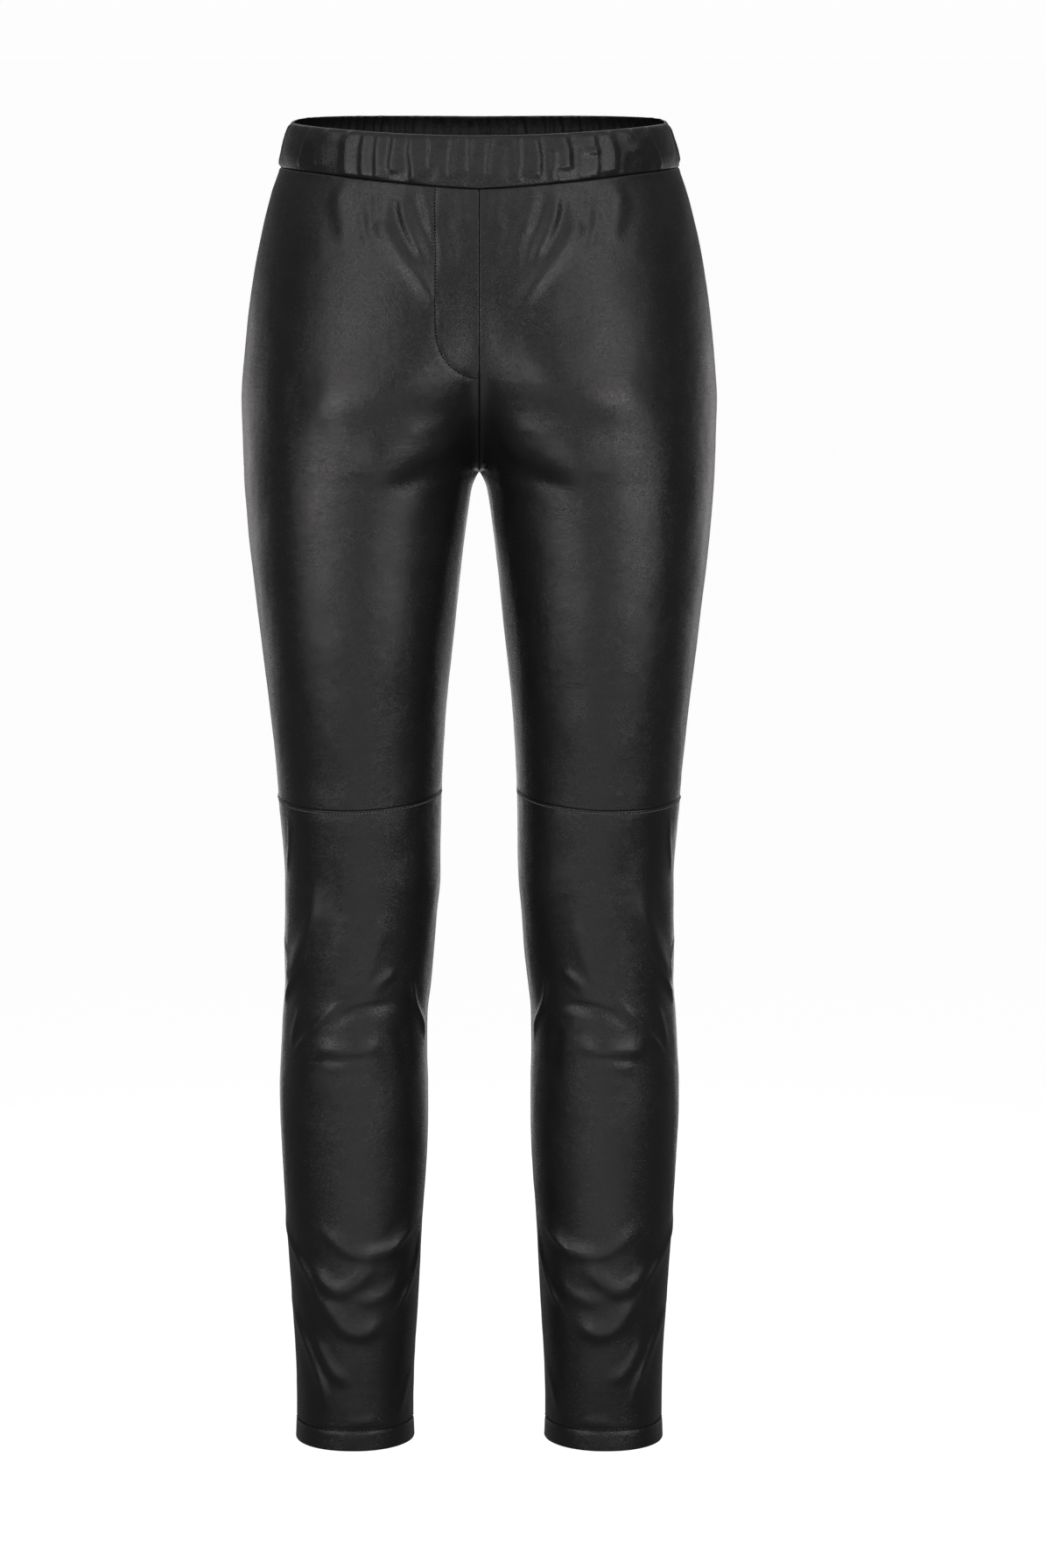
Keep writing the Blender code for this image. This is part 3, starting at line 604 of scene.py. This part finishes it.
def panel_relief(panel, run, height, side_name):
    """Height of the cloth over the section surface, and the part of it that comes from folds."""
    wall = WALLS[panel.facing]
    girth = wall.girth(height)
    u = run / girth
    folds = np.zeros(run.shape)
    draw = np.random.default_rng(UNEVEN_SEED[side_name])
    for fold in panel.folds:
        low, high = min(h for _, h in fold.path), max(h for _, h in fold.path)
        uneven = draw.uniform(-1, 1, 3) if panel.facing > 0 else np.zeros(3)
        if high < height.min() - FOLD_MARGIN or low > height.max() + FOLD_MARGIN:
            continue
        across, up, rise = uneven * UNEVEN
        folds += fold_relief(run, height, fold._replace(
            rise=fold.rise * (1 + rise), path=[(x + across, h + up) for x, h in fold.path]), wall)

    below_top = seam_height(panel.top, u) - height
    above_bottom = height - seam_height(panel.bottom, u)
    off_sides = np.minimum(np.minimum(run, girth - run), above_bottom)
    edge = np.minimum(off_sides, below_top)
    if panel.top_roll == WAIST_ROLL:
        calm = smoothstep(off_sides / CALM_EDGE) * smoothstep(below_top / CALM_WAIST + 0.25)
    else:
        calm = smoothstep(edge / CALM_EDGE)
    folds *= calm

    sign = 1.0 if side_name == "left" else -1.0
    places = wall.at(run, height) * np.array((sign, 1.0, 1.0))
    relief = folds + LEG_EASE * smoothstep((EASE_TOP - height) / EASE_SPAN)
    relief += smoothstep(edge / WAVE_EDGE) * waves(places, CLOTH_RIPPLES)
    pucker = (np.exp(-below_top / 7.0) + 0.5 * np.exp(-run / 4.0)
              + 0.5 * np.exp((run - girth) / 4.0))
    relief += pucker * waves(places * np.array((1, 1, 0.5)), SEAM_RIPPLES)
    relief -= roll(run, LEG_SEAM_ROLL) + roll(
        girth - run, np.where(height > CROTCH, SEAM_ROLL, LEG_SEAM_ROLL))
    relief -= roll(below_top, panel.top_roll)
    relief -= roll(above_bottom, 0.5 * HEM_WALL if panel.hem else SEAM_ROLL)
    if panel.hem:
        relief += (step_up(HEM_STITCH - above_bottom, *HEM_STEP)
                   - groove(above_bottom - HEM_STITCH, *HEM_GROOVE))
    if panel.name == "front_shin":
        relief += (step_up(TOPSTITCH_DROP + 0.6 - below_top, *KNEE_STEP)
                   - groove(below_top - TOPSTITCH_DROP, *KNEE_GROOVE))
    if panel.name == "front_thigh" and side_name == "right":
        relief += fly_relief(run, height, wall)
    return relief, folds


# ---------------------------------------------------------------- materials
def feed(tree, value, socket):
    """Gives a socket a value of its own, or joins another node's output to it."""
    if isinstance(value, (int, float, tuple)):
        socket.default_value = value
    else:
        tree.links.new(value, socket)


def node(tree, kind, inputs=None, **settings):
    made = tree.nodes.new(kind)
    for name, value in settings.items():
        setattr(made, name, value)
    for name, value in (inputs or {}).items():
        feed(tree, value, made.inputs[name])
    return made


def maths(tree, operation, a, b=0.0):
    return node(tree, "ShaderNodeMath", {0: a, 1: b}, operation=operation).outputs[0]


def principled(name, **inputs):
    """A new material with its node tree and shader. inputs: the shader's, _ for a space."""
    material = bpy.data.materials.new(name)
    material.use_nodes = True
    tree = material.node_tree
    shader = tree.nodes["Principled BSDF"]
    for socket, value in inputs.items():
        shader.inputs[socket.replace("_", " ")].default_value = value
    return material, tree, shader


def dress(tree, shader, height, strength, distance, share, base, dark, light):
    """Bump from a height, and a colour that goes from dark to light times the base colour."""
    bump = node(tree, "ShaderNodeBump",
                {"Strength": strength, "Distance": distance, "Height": height})
    feed(tree, bump.outputs[0], shader.inputs["Normal"])
    shade = node(tree, "ShaderNodeMix",
                 {"A": (*[c * dark for c in base], 1), "B": (*[c * light for c in base], 1),
                  "Factor": share}, data_type="RGBA")
    feed(tree, shade.outputs["Result"], shader.inputs["Base Color"])


def noise(tree, place, **inputs):
    return node(tree, "ShaderNodeTexNoise", {"Vector": place, **inputs}).outputs[0]


def leather(name, base, roughness, grain):
    """Semi-matte coated fabric: pebble grain, slight mottling, worn glossier crests with a lighter
    base colour, and duller troughs whose darker base colour is painted shade.
    """
    material, tree, shader = principled(name, Specular_IOR_Level=0.5)
    place = node(tree, "ShaderNodeTexCoord").outputs["Object"]
    cells = node(tree, "ShaderNodeTexVoronoi", {"Vector": place, "Scale": 800.0},
                 feature="DISTANCE_TO_EDGE").outputs[0]
    fine = noise(tree, place, Scale=1300.0, Detail=1.5)
    broad = noise(tree, place, Scale=38.0, Detail=5.0)
    wear_and_trough_shade = node(tree, "ShaderNodeAttribute", attribute_name="wear_and_trough_shade").outputs["Fac"]

    pebble = maths(tree, "MINIMUM", maths(tree, "MULTIPLY", cells, 4.0), 1.0)
    height = maths(tree, "ADD", maths(tree, "MULTIPLY", pebble, 0.22), fine)
    # Base colour: lighter on fold crests as wear, darker in fold troughs as painted shade, and
    # randomly mottled.
    share = maths(tree, "ADD", maths(tree, "MULTIPLY", wear_and_trough_shade, 0.35), broad)
    dress(tree, shader, height, grain, 0.00022, share, base, 0.75, 1.35)

    mottle = maths(tree, "MULTIPLY", maths(tree, "SUBTRACT", broad, 0.5), 0.16)
    gloss = maths(tree, "ADD", mottle, maths(tree, "MULTIPLY", wear_and_trough_shade, -0.05))
    speckle = maths(tree, "MULTIPLY", maths(tree, "SUBTRACT", fine, 0.5), 0.22)
    feed(tree, maths(tree, "ADD", maths(tree, "ADD", gloss, roughness), speckle),
         shader.inputs["Roughness"])
    return material


def backing():
    """Dull knitted reverse of the coated fabric."""
    material, tree, shader = principled("knitted_backing", Roughness=0.95,
                                        Specular_IOR_Level=0.15)
    place = node(tree, "ShaderNodeTexCoord").outputs["Object"]
    rows = node(tree, "ShaderNodeTexWave",
                {"Vector": place, "Scale": 210.0, "Distortion": 2.0, "Detail Scale": 300.0},
                wave_type="BANDS", bands_direction="Z").outputs["Fac"]
    fuzz = noise(tree, place, Scale=1200.0)
    dress(tree, shader, maths(tree, "ADD", rows, fuzz), 0.6, 0.0002, fuzz, (1.0, 1.0, 1.0),
          0.02, 0.05)
    return material


def thread_material(name, grey, roughness, specular):
    material, tree, shader = principled(name, Roughness=roughness, Specular_IOR_Level=specular)
    place = node(tree, "ShaderNodeTexCoord").outputs["Object"]
    twist = noise(tree, place, Scale=4000.0)
    dress(tree, shader, twist, 0.7, 0.00008, twist, (grey, grey, grey), 0.7, 1.4)
    return material


LEATHER_BASE = (0.0105, 0.0103, 0.0102)
LEATHER = leather("faux_leather", LEATHER_BASE, 0.235, 1.0)
BAND_LEATHER = leather("faux_leather_waistband", LEATHER_BASE, 0.25, 1.0)
BACKING = backing()
MATT_THREAD = thread_material("sewing_thread", 0.004, 0.8, 0.15)
# The knee topstitching thread is glossy, and its light grey is a painted highlight standing in for
# light that catches the stitching.
GLOSSY_PAINTED_HIGHLIGHT_THREAD = thread_material("topstitching_thread", 0.09, 0.3, 0.6)
# A lighter copy of the leather for the band's inner face: painted light, standing in for light that
# hardly reaches that face.
LIT_BAND_INSIDE = leather("faux_leather_inside_painted_light", (0.015, 0.0147, 0.0147), 0.3, 0.8)


# ---------------------------------------------------------------- meshes
def add_object(name, data):
    made = bpy.data.objects.new(name, data)
    bpy.context.scene.collection.objects.link(made)
    return made


def add_mesh(name, points, faces, materials):
    """A smooth piece in metres, from points in millimetres above the hems."""
    mesh = bpy.data.meshes.new(name)
    mesh.from_pydata(((points - (0.0, 0.0, ORIGIN_HEIGHT)) * MM).tolist(), [], faces)
    for material in materials:
        mesh.materials.append(material)
    mesh.shade_smooth()
    return add_object(name, mesh)


def shell(name, outer, inner, normal, wear_and_trough_shade, materials):
    """A closed thin piece from its outer and inner faces, which are grids of the same size."""
    rows, columns = outer.shape[:2]
    count = rows * columns
    index = np.arange(count).reshape(rows, columns)
    quads = np.stack((index[:-1, :-1], index[1:, :-1], index[1:, 1:], index[:-1, 1:]),
                     axis=-1).reshape(-1, 4)
    border = np.concatenate((index[:-1, 0], index[-1, :-1], index[:0:-1, -1], index[0, :0:-1]))
    following = np.roll(border, -1)
    rim = np.stack((border, following, following + count, border + count), axis=-1)
    row, col = rows // 2, columns // 2
    across = np.cross(outer[row + 1, col] - outer[row, col], outer[row, col + 1] - outer[row, col])
    if across @ normal[row, col] < 0:
        quads = quads[:, ::-1]
    else:
        rim = rim[:, ::-1]
    faces = np.vstack((quads, quads[:, ::-1] + count, rim))
    piece = add_mesh(name, np.vstack((outer.reshape(-1, 3), inner.reshape(-1, 3))),
                     faces.tolist(), materials)
    kinds = np.zeros(len(faces), dtype=np.int32)
    kinds[len(quads):2 * len(quads)] = len(materials) - 1
    piece.data.polygons.foreach_set("material_index", kinds)
    # Per-point fold relief: wear on crests, painted shade in troughs.
    piece.data.attributes.new("wear_and_trough_shade", "FLOAT", "POINT").data.foreach_set(
        "value", np.concatenate((wear_and_trough_shade.ravel(), np.zeros(count))).astype(np.float32))
    piece.data.update()
    return piece


def flip(points, side_name):
    return points if side_name == "left" else points * np.array((-1.0, 1.0, 1.0))


def meet_at_centre(points, run, girth, height):
    """Draws a panel's inner edge back to the centre plane above the arch between the thighs."""
    above = smoothstep(height - CROTCH + 1.0)
    away = points[:, -1:, 0] * above[:, -1:]
    points = points.copy()
    points[..., 0] -= away * np.exp(-(girth - run) / MEET_FADE)
    return points


def make_panel(panel, side_name):
    wall = WALLS[panel.facing]
    run, height = panel_places(panel)
    girth = wall.girth(height)
    points, normal = wall.at(run, height), wall.normal(run, height)
    relief, folds = panel_relief(panel, run, height, side_name)
    thick = np.full(run.shape, WALL)
    if panel.hem:
        above = height - seam_height(panel.bottom, run / girth)
        thick += (HEM_WALL - WALL) * smoothstep(HEM_TURN + 0.5 - above)
        thick -= 2 * roll(above, 0.5 * HEM_WALL) * EDGE_THINNING
    outer = meet_at_centre(points + normal * relief[..., None], run, girth, height)
    inner = points + normal * (relief - thick)[..., None]
    inner[..., 0] = np.maximum(inner[..., 0], 0.0)
    faces = (flip(grid, side_name) for grid in (outer, inner, normal))
    return shell(f"{panel.name}_{side_name}_cloth", *faces, np.clip(folds / WEAR_AND_SHADE_FOLD, -1, 1),
                 (LEATHER, BACKING))


# ---------------------------------------------------------------- waistband
def gather_relief(place, height, gathers):
    """Relief of gathers at a signed distance round from the centre, and a height."""
    total = np.zeros(place.shape)
    for gather in gathers:
        path = np.array(gather.path, dtype=float)[::-1]
        centre = np.interp(height, path[:, 1], path[:, 0])
        low, high = path[0, 1], path[-1, 1]
        away = place - centre
        width = GATHER_SPREAD * np.where(away * np.sign(centre) > 0, gather.outer, gather.inner)
        fade = (smoothstep((height - low) / GATHER_FADE + 1)
                * smoothstep((high - height) / GATHER_FADE + 1))
        total += gather.rise * fade * np.exp(-(np.abs(away) / width) ** GATHER_POWER)
    return total


def random_gathers(reach, low, high, pitch, rises, seed):
    """Uneven gathers all along a band whose half girth is reach."""
    draw = np.random.default_rng(seed)
    made, at = [], -reach + GATHER_END
    while at < reach - GATHER_END:
        lean = draw.uniform(-2.2, 2.2)
        long = draw.uniform(0.6, 1.0)
        start = draw.uniform(0.0, 1.0 - long)
        bottom, top = low + (high - low) * start, low + (high - low) * (start + long)
        rise = draw.uniform(*rises)
        narrow = pitch[0] / 4.0
        made.append(Gather(rise, draw.uniform(0.8, 1.2) * narrow, draw.uniform(0.9, 1.9) * narrow,
                           [(at + lean, top), (at + 0.3 * lean, 0.5 * (top + bottom)),
                            (at, bottom)]))
        at += draw.uniform(*pitch)
    return made


def make_band(name, lower, upper, facing, outer_gathers, inner_gathers):
    wall = WALLS[facing]
    reach = float(wall.girth(ORIGIN_HEIGHT))
    edge = np.array(EDGE)
    inside = np.linspace(edge[-1], 2 * reach - edge[-1], int(round(2 * reach / BAND_STEP)))[1:-1]
    share = np.concatenate((edge, inside, 2 * reach - edge[::-1])) / reach - 1
    fringe = edge / BAND_HEIGHT
    up = np.concatenate((fringe, np.linspace(fringe[-1], 1 - fringe[-1], BAND_ROWS)[1:-1],
                         1 - fringe[::-1]))[::-1]
    share, up = np.meshgrid(share, up)
    u = 1 - np.abs(share)
    low, high = seam_height(lower, u), seam_height(upper, u)
    height = low + up * (high - low)
    girth = wall.girth(height)
    run = girth * u
    mirror = np.stack((np.where(share < 0, -1.0, 1.0), np.ones(u.shape), np.ones(u.shape)), -1)
    points, normal = wall.at(run, height) * mirror, wall.normal(run, height) * mirror

    place = share * girth
    aside = smoothstep(run / SIDE_REACH)
    bulge = (aside * np.interp(up, PROFILE_HEIGHTS, BAND_PROFILE)
             + (1 - aside) * np.interp(up, PROFILE_HEIGHTS, SIDE_PROFILE))
    ends = smoothstep(run / BAND_END + 0.1)
    swell = smoothstep(up / 0.10 + 0.35) * (0.55 + 0.45 * smoothstep((1 - up) / 0.12))
    gathers = GATHER_GAIN * gather_relief(place, height, outer_gathers) * swell * ends
    uneven = gathers + waves(points, BAND_RIPPLES)
    below, above = height - low, high - height
    relief = bulge + uneven - (
        roll(below, WAIST_ROLL) + roll(above, 0.5 * BAND_WALL) + roll(run, SEAM_ROLL))
    within = gather_relief(place, height, inner_gathers) * ends * (
        0.35 + 0.65 * smoothstep((1 - up) / 0.2))
    thick = BAND_WALL + uneven - within - FLARE * smoothstep((up - 0.35) / 0.65)
    thick -= 2 * roll(above, 0.5 * BAND_WALL) * EDGE_THINNING
    outer = points + normal * relief[..., None]
    inner = points + normal * (relief - np.maximum(thick, LEAST_WALL))[..., None]
    return shell(name, outer, inner, normal, np.clip(gathers / WEAR_AND_SHADE_GATHER, -1, 1),
                 (BAND_LEATHER, LIT_BAND_INSIDE))


# ---------------------------------------------------------------- stitches
def stitches(name, runs, thread):
    """Short dashes of thread. runs: for each seam, its points and normals along the cloth."""
    rings, sides = 5, 6
    points, faces = [], []
    for path, normals in runs:
        length = run_length(path)

        def on(rows, where):
            return np.array([np.interp(where, length, rows[:, k]) for k in range(3)])

        for at in np.arange(0.6 * STITCH_PITCH, length[-1] - 0.4 * STITCH_PITCH, STITCH_PITCH):
            centre = on(path, at)
            ahead = on(path, at + 0.5 * STITCH_LENGTH) - on(path, at - 0.5 * STITCH_LENGTH)
            ahead /= np.linalg.norm(ahead)
            out = on(normals, at)
            out -= ahead * (out @ ahead)
            out /= np.linalg.norm(out)
            over = np.cross(ahead, out)
            first = len(points)
            for ring in range(rings):
                t = 2 * ring / (rings - 1) - 1
                size = THREAD_RADIUS * (0.45 + 0.55 * math.sqrt(1 - t * t))
                middle = centre + ahead * t * 0.5 * STITCH_LENGTH + out * (
                    0.75 * THREAD_RADIUS * (1 - 1.5 * t * t))
                for side in range(sides):
                    turn = 2 * math.pi * side / sides
                    points.append(middle + size * (math.cos(turn) * over + math.sin(turn) * out))
            for ring in range(rings - 1):
                for side in range(sides):
                    a, b = first + ring * sides + side, first + ring * sides + (side + 1) % sides
                    faces.append((a, b, b + sides, a + sides))
            faces.append(tuple(range(first + sides - 1, first - 1, -1)))
            last = first + (rings - 1) * sides
            faces.append(tuple(range(last, last + sides)))
    piece = add_mesh(name, np.array(points), faces, (thread,))
    return piece


def on_cloth(panel, side_name, run, height):
    """Points on a panel's outer face along a line, and the normals there."""
    wall = WALLS[panel.facing]
    relief, _ = panel_relief(panel, run[None, :], height[None, :], side_name)
    normal = wall.normal(run, height)
    points = wall.at(run, height) + normal * relief[0][:, None]
    return flip(points, side_name), flip(normal, side_name)


def line_along(panel, seam, over, side_name):
    """The place on the cloth of a line across a panel that runs at a distance over a seam."""
    u = np.linspace(0, 1, LINE_POINTS)
    height = seam_height(seam, u) + over
    girth = WALLS[panel.facing].girth(height)
    return on_cloth(panel, side_name, LINE_INSET + u * (girth - 2 * LINE_INSET), height)


# ---------------------------------------------------------------- build
front_thigh, front_shin, back_leg = PANELS
for side_name in ("left", "right"):
    knee = stitches(f"knee_topstitch_{side_name}",
                    [line_along(front_shin, front_shin.top, -TOPSTITCH_DROP, side_name)],
                    GLOSSY_PAINTED_HIGHLIGHT_THREAD)
    hem = stitches(f"hem_stitch_{side_name}",
                   [line_along(panel, panel.bottom, HEM_STITCH, side_name)
                    for panel in (front_shin, back_leg)], MATT_THREAD)
    with_thread = {"front_shin": [knee, hem]}
    for panel in PANELS:
        piece = make_panel(panel, side_name)
        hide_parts(f"{panel.name}_{side_name}")
        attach(piece, "root")
    if side_name == "right":
        path = laid_path(WALLS[-1], FLY_STITCH)
        fly = stitches("fly_stitch", [on_cloth(front_thigh, "right", path[:, 0], path[:, 1])],
                       MATT_THREAD)
        with_thread["front_thigh"] = [fly]
    for thread in sum(with_thread.values(), []):
        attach(thread, "root")

half_front, half_back = (float(WALLS[facing].girth(ORIGIN_HEIGHT)) for facing in (-1, 1))
band_front = make_band("waistband_front_cloth", WAIST_SEAM_FRONT, BAND_TOP_FRONT, -1,
                       FRONT_GATHERS,
                       random_gathers(half_front, 936, 977, INNER_PITCH, INNER_RISE, 31))
band_back = make_band("waistband_back_cloth", WAIST_SEAM_BACK, BAND_TOP_BACK, 1,
                      random_gathers(half_back, 942, 977, OUTER_PITCH, OUTER_RISE, 41),
                      random_gathers(half_back, 942, 984, INNER_PITCH, INNER_RISE, 43))
for piece, solid, cut in ((band_front, "waistband_front", (0.45, 0.037)),
                          (band_back, "waistband_back", (0.50, 0.037))):
    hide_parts(solid)
    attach(piece, "root")

# ---------------------------------------------------------------- studio
scene = bpy.context.scene
scene.view_settings.view_transform = "Standard"

WHITE = (0.985, 0.985, 0.985, 1)
LIGHT_TINT = (1.0, 0.968, 0.973)
DIM, PALE = 0.10, 0.36    # how bright the studio is in front and beside, and behind and above
OVERHEAD = 1.4            # how much of the way to pale, and past it, the ceiling is


def ramp(value, low, high):
    """A smooth step from 0 to 1 between two values."""
    return node(tree, "ShaderNodeMapRange", {"Value": value, "From Min": low, "From Max": high},
                interpolation_type="SMOOTHSTEP").outputs["Result"]


world = bpy.data.worlds.new("studio")
world.use_nodes = True
scene.world = world
tree = world.node_tree
direction = node(tree, "ShaderNodeSeparateXYZ", {
    0: node(tree, "ShaderNodeTexCoord").outputs["Generated"]}).outputs
behind = maths(tree, "MULTIPLY", ramp(direction["Y"], 0.35, 0.85),
               ramp(direction["Z"], -0.24, -0.05))
beside = ramp(maths(tree, "ABSOLUTE", direction["X"]), 0.10, 0.34)
behind = maths(tree, "MULTIPLY", behind, beside)
behind = maths(tree, "SUBTRACT", behind,
               maths(tree, "MULTIPLY", behind, ramp(direction["Z"], -0.07, 0.06)))
overhead = maths(tree, "MULTIPLY", ramp(direction["Z"], 0.25, 0.6), OVERHEAD)
share = maths(tree, "MAXIMUM", behind, overhead)
background = tree.nodes["Background"]
feed(tree, (*LIGHT_TINT, 1), background.inputs["Color"])
feed(tree, maths(tree, "ADD", maths(tree, "MULTIPLY", share, PALE - DIM), DIM),
     background.inputs["Strength"])
seen = node(tree, "ShaderNodeBackground", {"Color": WHITE})
either = node(tree, "ShaderNodeMixShader", {
    0: node(tree, "ShaderNodeLightPath").outputs["Is Camera Ray"],
    1: background.outputs[0], 2: seen.outputs[0]})
feed(tree, either.outputs[0], tree.nodes["World Output"].inputs["Surface"])

FLOOR_HEIGHT = -75.0
FLOOR_RADIUS, FLOOR_SIDES = 30, 96
ring = [(FLOOR_RADIUS * math.cos(2 * math.pi * k / FLOOR_SIDES),
         FLOOR_RADIUS * math.sin(2 * math.pi * k / FLOOR_SIDES), 0.0) for k in range(FLOOR_SIDES)]
floor_mesh = bpy.data.meshes.new("floor")
floor_mesh.from_pydata(ring, [], [tuple(range(FLOOR_SIDES))])
floor_mesh.materials.append(principled(
    "pale_floor", Base_Color=(0.3, 0.3, 0.3, 1), Roughness=0.9,
    Emission_Color=(1, 1, 1, 1), Emission_Strength=0.85)[0])
floor = add_object("floor", floor_mesh)
floor.location.z = (FLOOR_HEIGHT - ORIGIN_HEIGHT) * MM
floor.visible_glossy = False
floor.visible_diffuse = False
floor.visible_shadow = False


def area_lamp(name, width, tall, radiance, location, rotation):
    light = bpy.data.lights.new(name, "AREA")
    light.shape = "RECTANGLE"
    light.size, light.size_y = width, tall
    light.energy = math.pi * radiance * width * tall
    light.color = LIGHT_TINT
    lamp = add_object(name, light)
    lamp.location, lamp.rotation_euler = location, rotation
    lamp.visible_camera = False


# Softboxes stand round the object, upright, and face its axis. azimuth: degrees from the front
# towards the wearer's left. spread: degrees they cover. low, high: metres from the waistband.
# One that isn't on the centre plane has a mirrored twin.
Softbox = namedtuple("Softbox", "name azimuth spread low high radiance")
SOFTBOXES = [Softbox(*row) for row in (
    ("hips", 39, 30, -0.59, -0.37, 8.0),
    ("hips_middle", 39, 30, -0.37, -0.24, 2.2),
    ("hips_high", 39, 30, -0.24, 0.28, 0.7),
    ("waist", 42, 30, 0.32, 0.85, 2.7),
    ("waist_middle", 0, 36, 0.10, 0.80, 0.8),
    ("knees", 15, 13, -1.08, -0.60, 1.3),
    ("back", 142, 30, -0.70, -0.18, 0.7),
    ("back_middle", 180, 24, -0.85, -0.15, 0.9),
    ("back_low", 162, 16, -1.10, -0.70, 0.9),
    ("back_high", 180, 70, 0.45, 1.1, 0.6),
)]
SOFTBOX_RADIUS = 1.6

twins = [box._replace(name=box.name + "_right", azimuth=-box.azimuth) for box in SOFTBOXES
         if box.azimuth % 180]
for box in SOFTBOXES + twins:
    azimuth = math.radians(box.azimuth)
    area_lamp(box.name, 2 * SOFTBOX_RADIUS * math.tan(math.radians(0.5 * box.spread)),
              box.high - box.low, box.radiance,
              (SOFTBOX_RADIUS * math.sin(azimuth), -SOFTBOX_RADIUS * math.cos(azimuth),
               0.5 * (box.low + box.high)), (0.5 * math.pi, 0.0, azimuth))

# A pale panel that lies on the floor in front and sends light upwards.
PANEL_WIDTH, PANEL_NEAR, PANEL_FAR, PANEL_RADIANCE = 0.6, 0.25, 1.7, 0.55
PANEL_DROP = 0.01         # metres below the hems
area_lamp("floor_panel", PANEL_WIDTH, PANEL_FAR - PANEL_NEAR, PANEL_RADIANCE,
          (0.0, -0.5 * (PANEL_NEAR + PANEL_FAR), -ORIGIN_HEIGHT * MM - PANEL_DROP),
          (math.pi, 0.0, 0.0))

CAMERA_DISTANCE = 4.6
CAMERA_HEIGHT = 1190.0
TARGET_HEIGHT = 485.0
FOCAL_PIXELS = 7243.0
IMAGE_WIDTH, IMAGE_HEIGHT = 1195, 1792
OBJECT_COLUMN, AXIS_ROW = 547.6, 909.8
SENSOR = 36.0
camera = bpy.data.cameras.new("camera")
camera.sensor_width = SENSOR
camera.lens = FOCAL_PIXELS * SENSOR / IMAGE_HEIGHT
camera.shift_x = (0.5 * IMAGE_WIDTH - OBJECT_COLUMN) / IMAGE_HEIGHT
camera.shift_y = (AXIS_ROW - 0.5 * IMAGE_HEIGHT) / IMAGE_HEIGHT
camera.clip_end = 200.0
viewer = add_object("camera", camera)
viewer.location = (0.0, -CAMERA_DISTANCE, (CAMERA_HEIGHT - ORIGIN_HEIGHT) * MM)
drop = (CAMERA_HEIGHT - TARGET_HEIGHT) * MM
viewer.rotation_euler = (0.5 * math.pi - math.atan2(drop, CAMERA_DISTANCE), 0.0, 0.0)
scene.camera = viewer
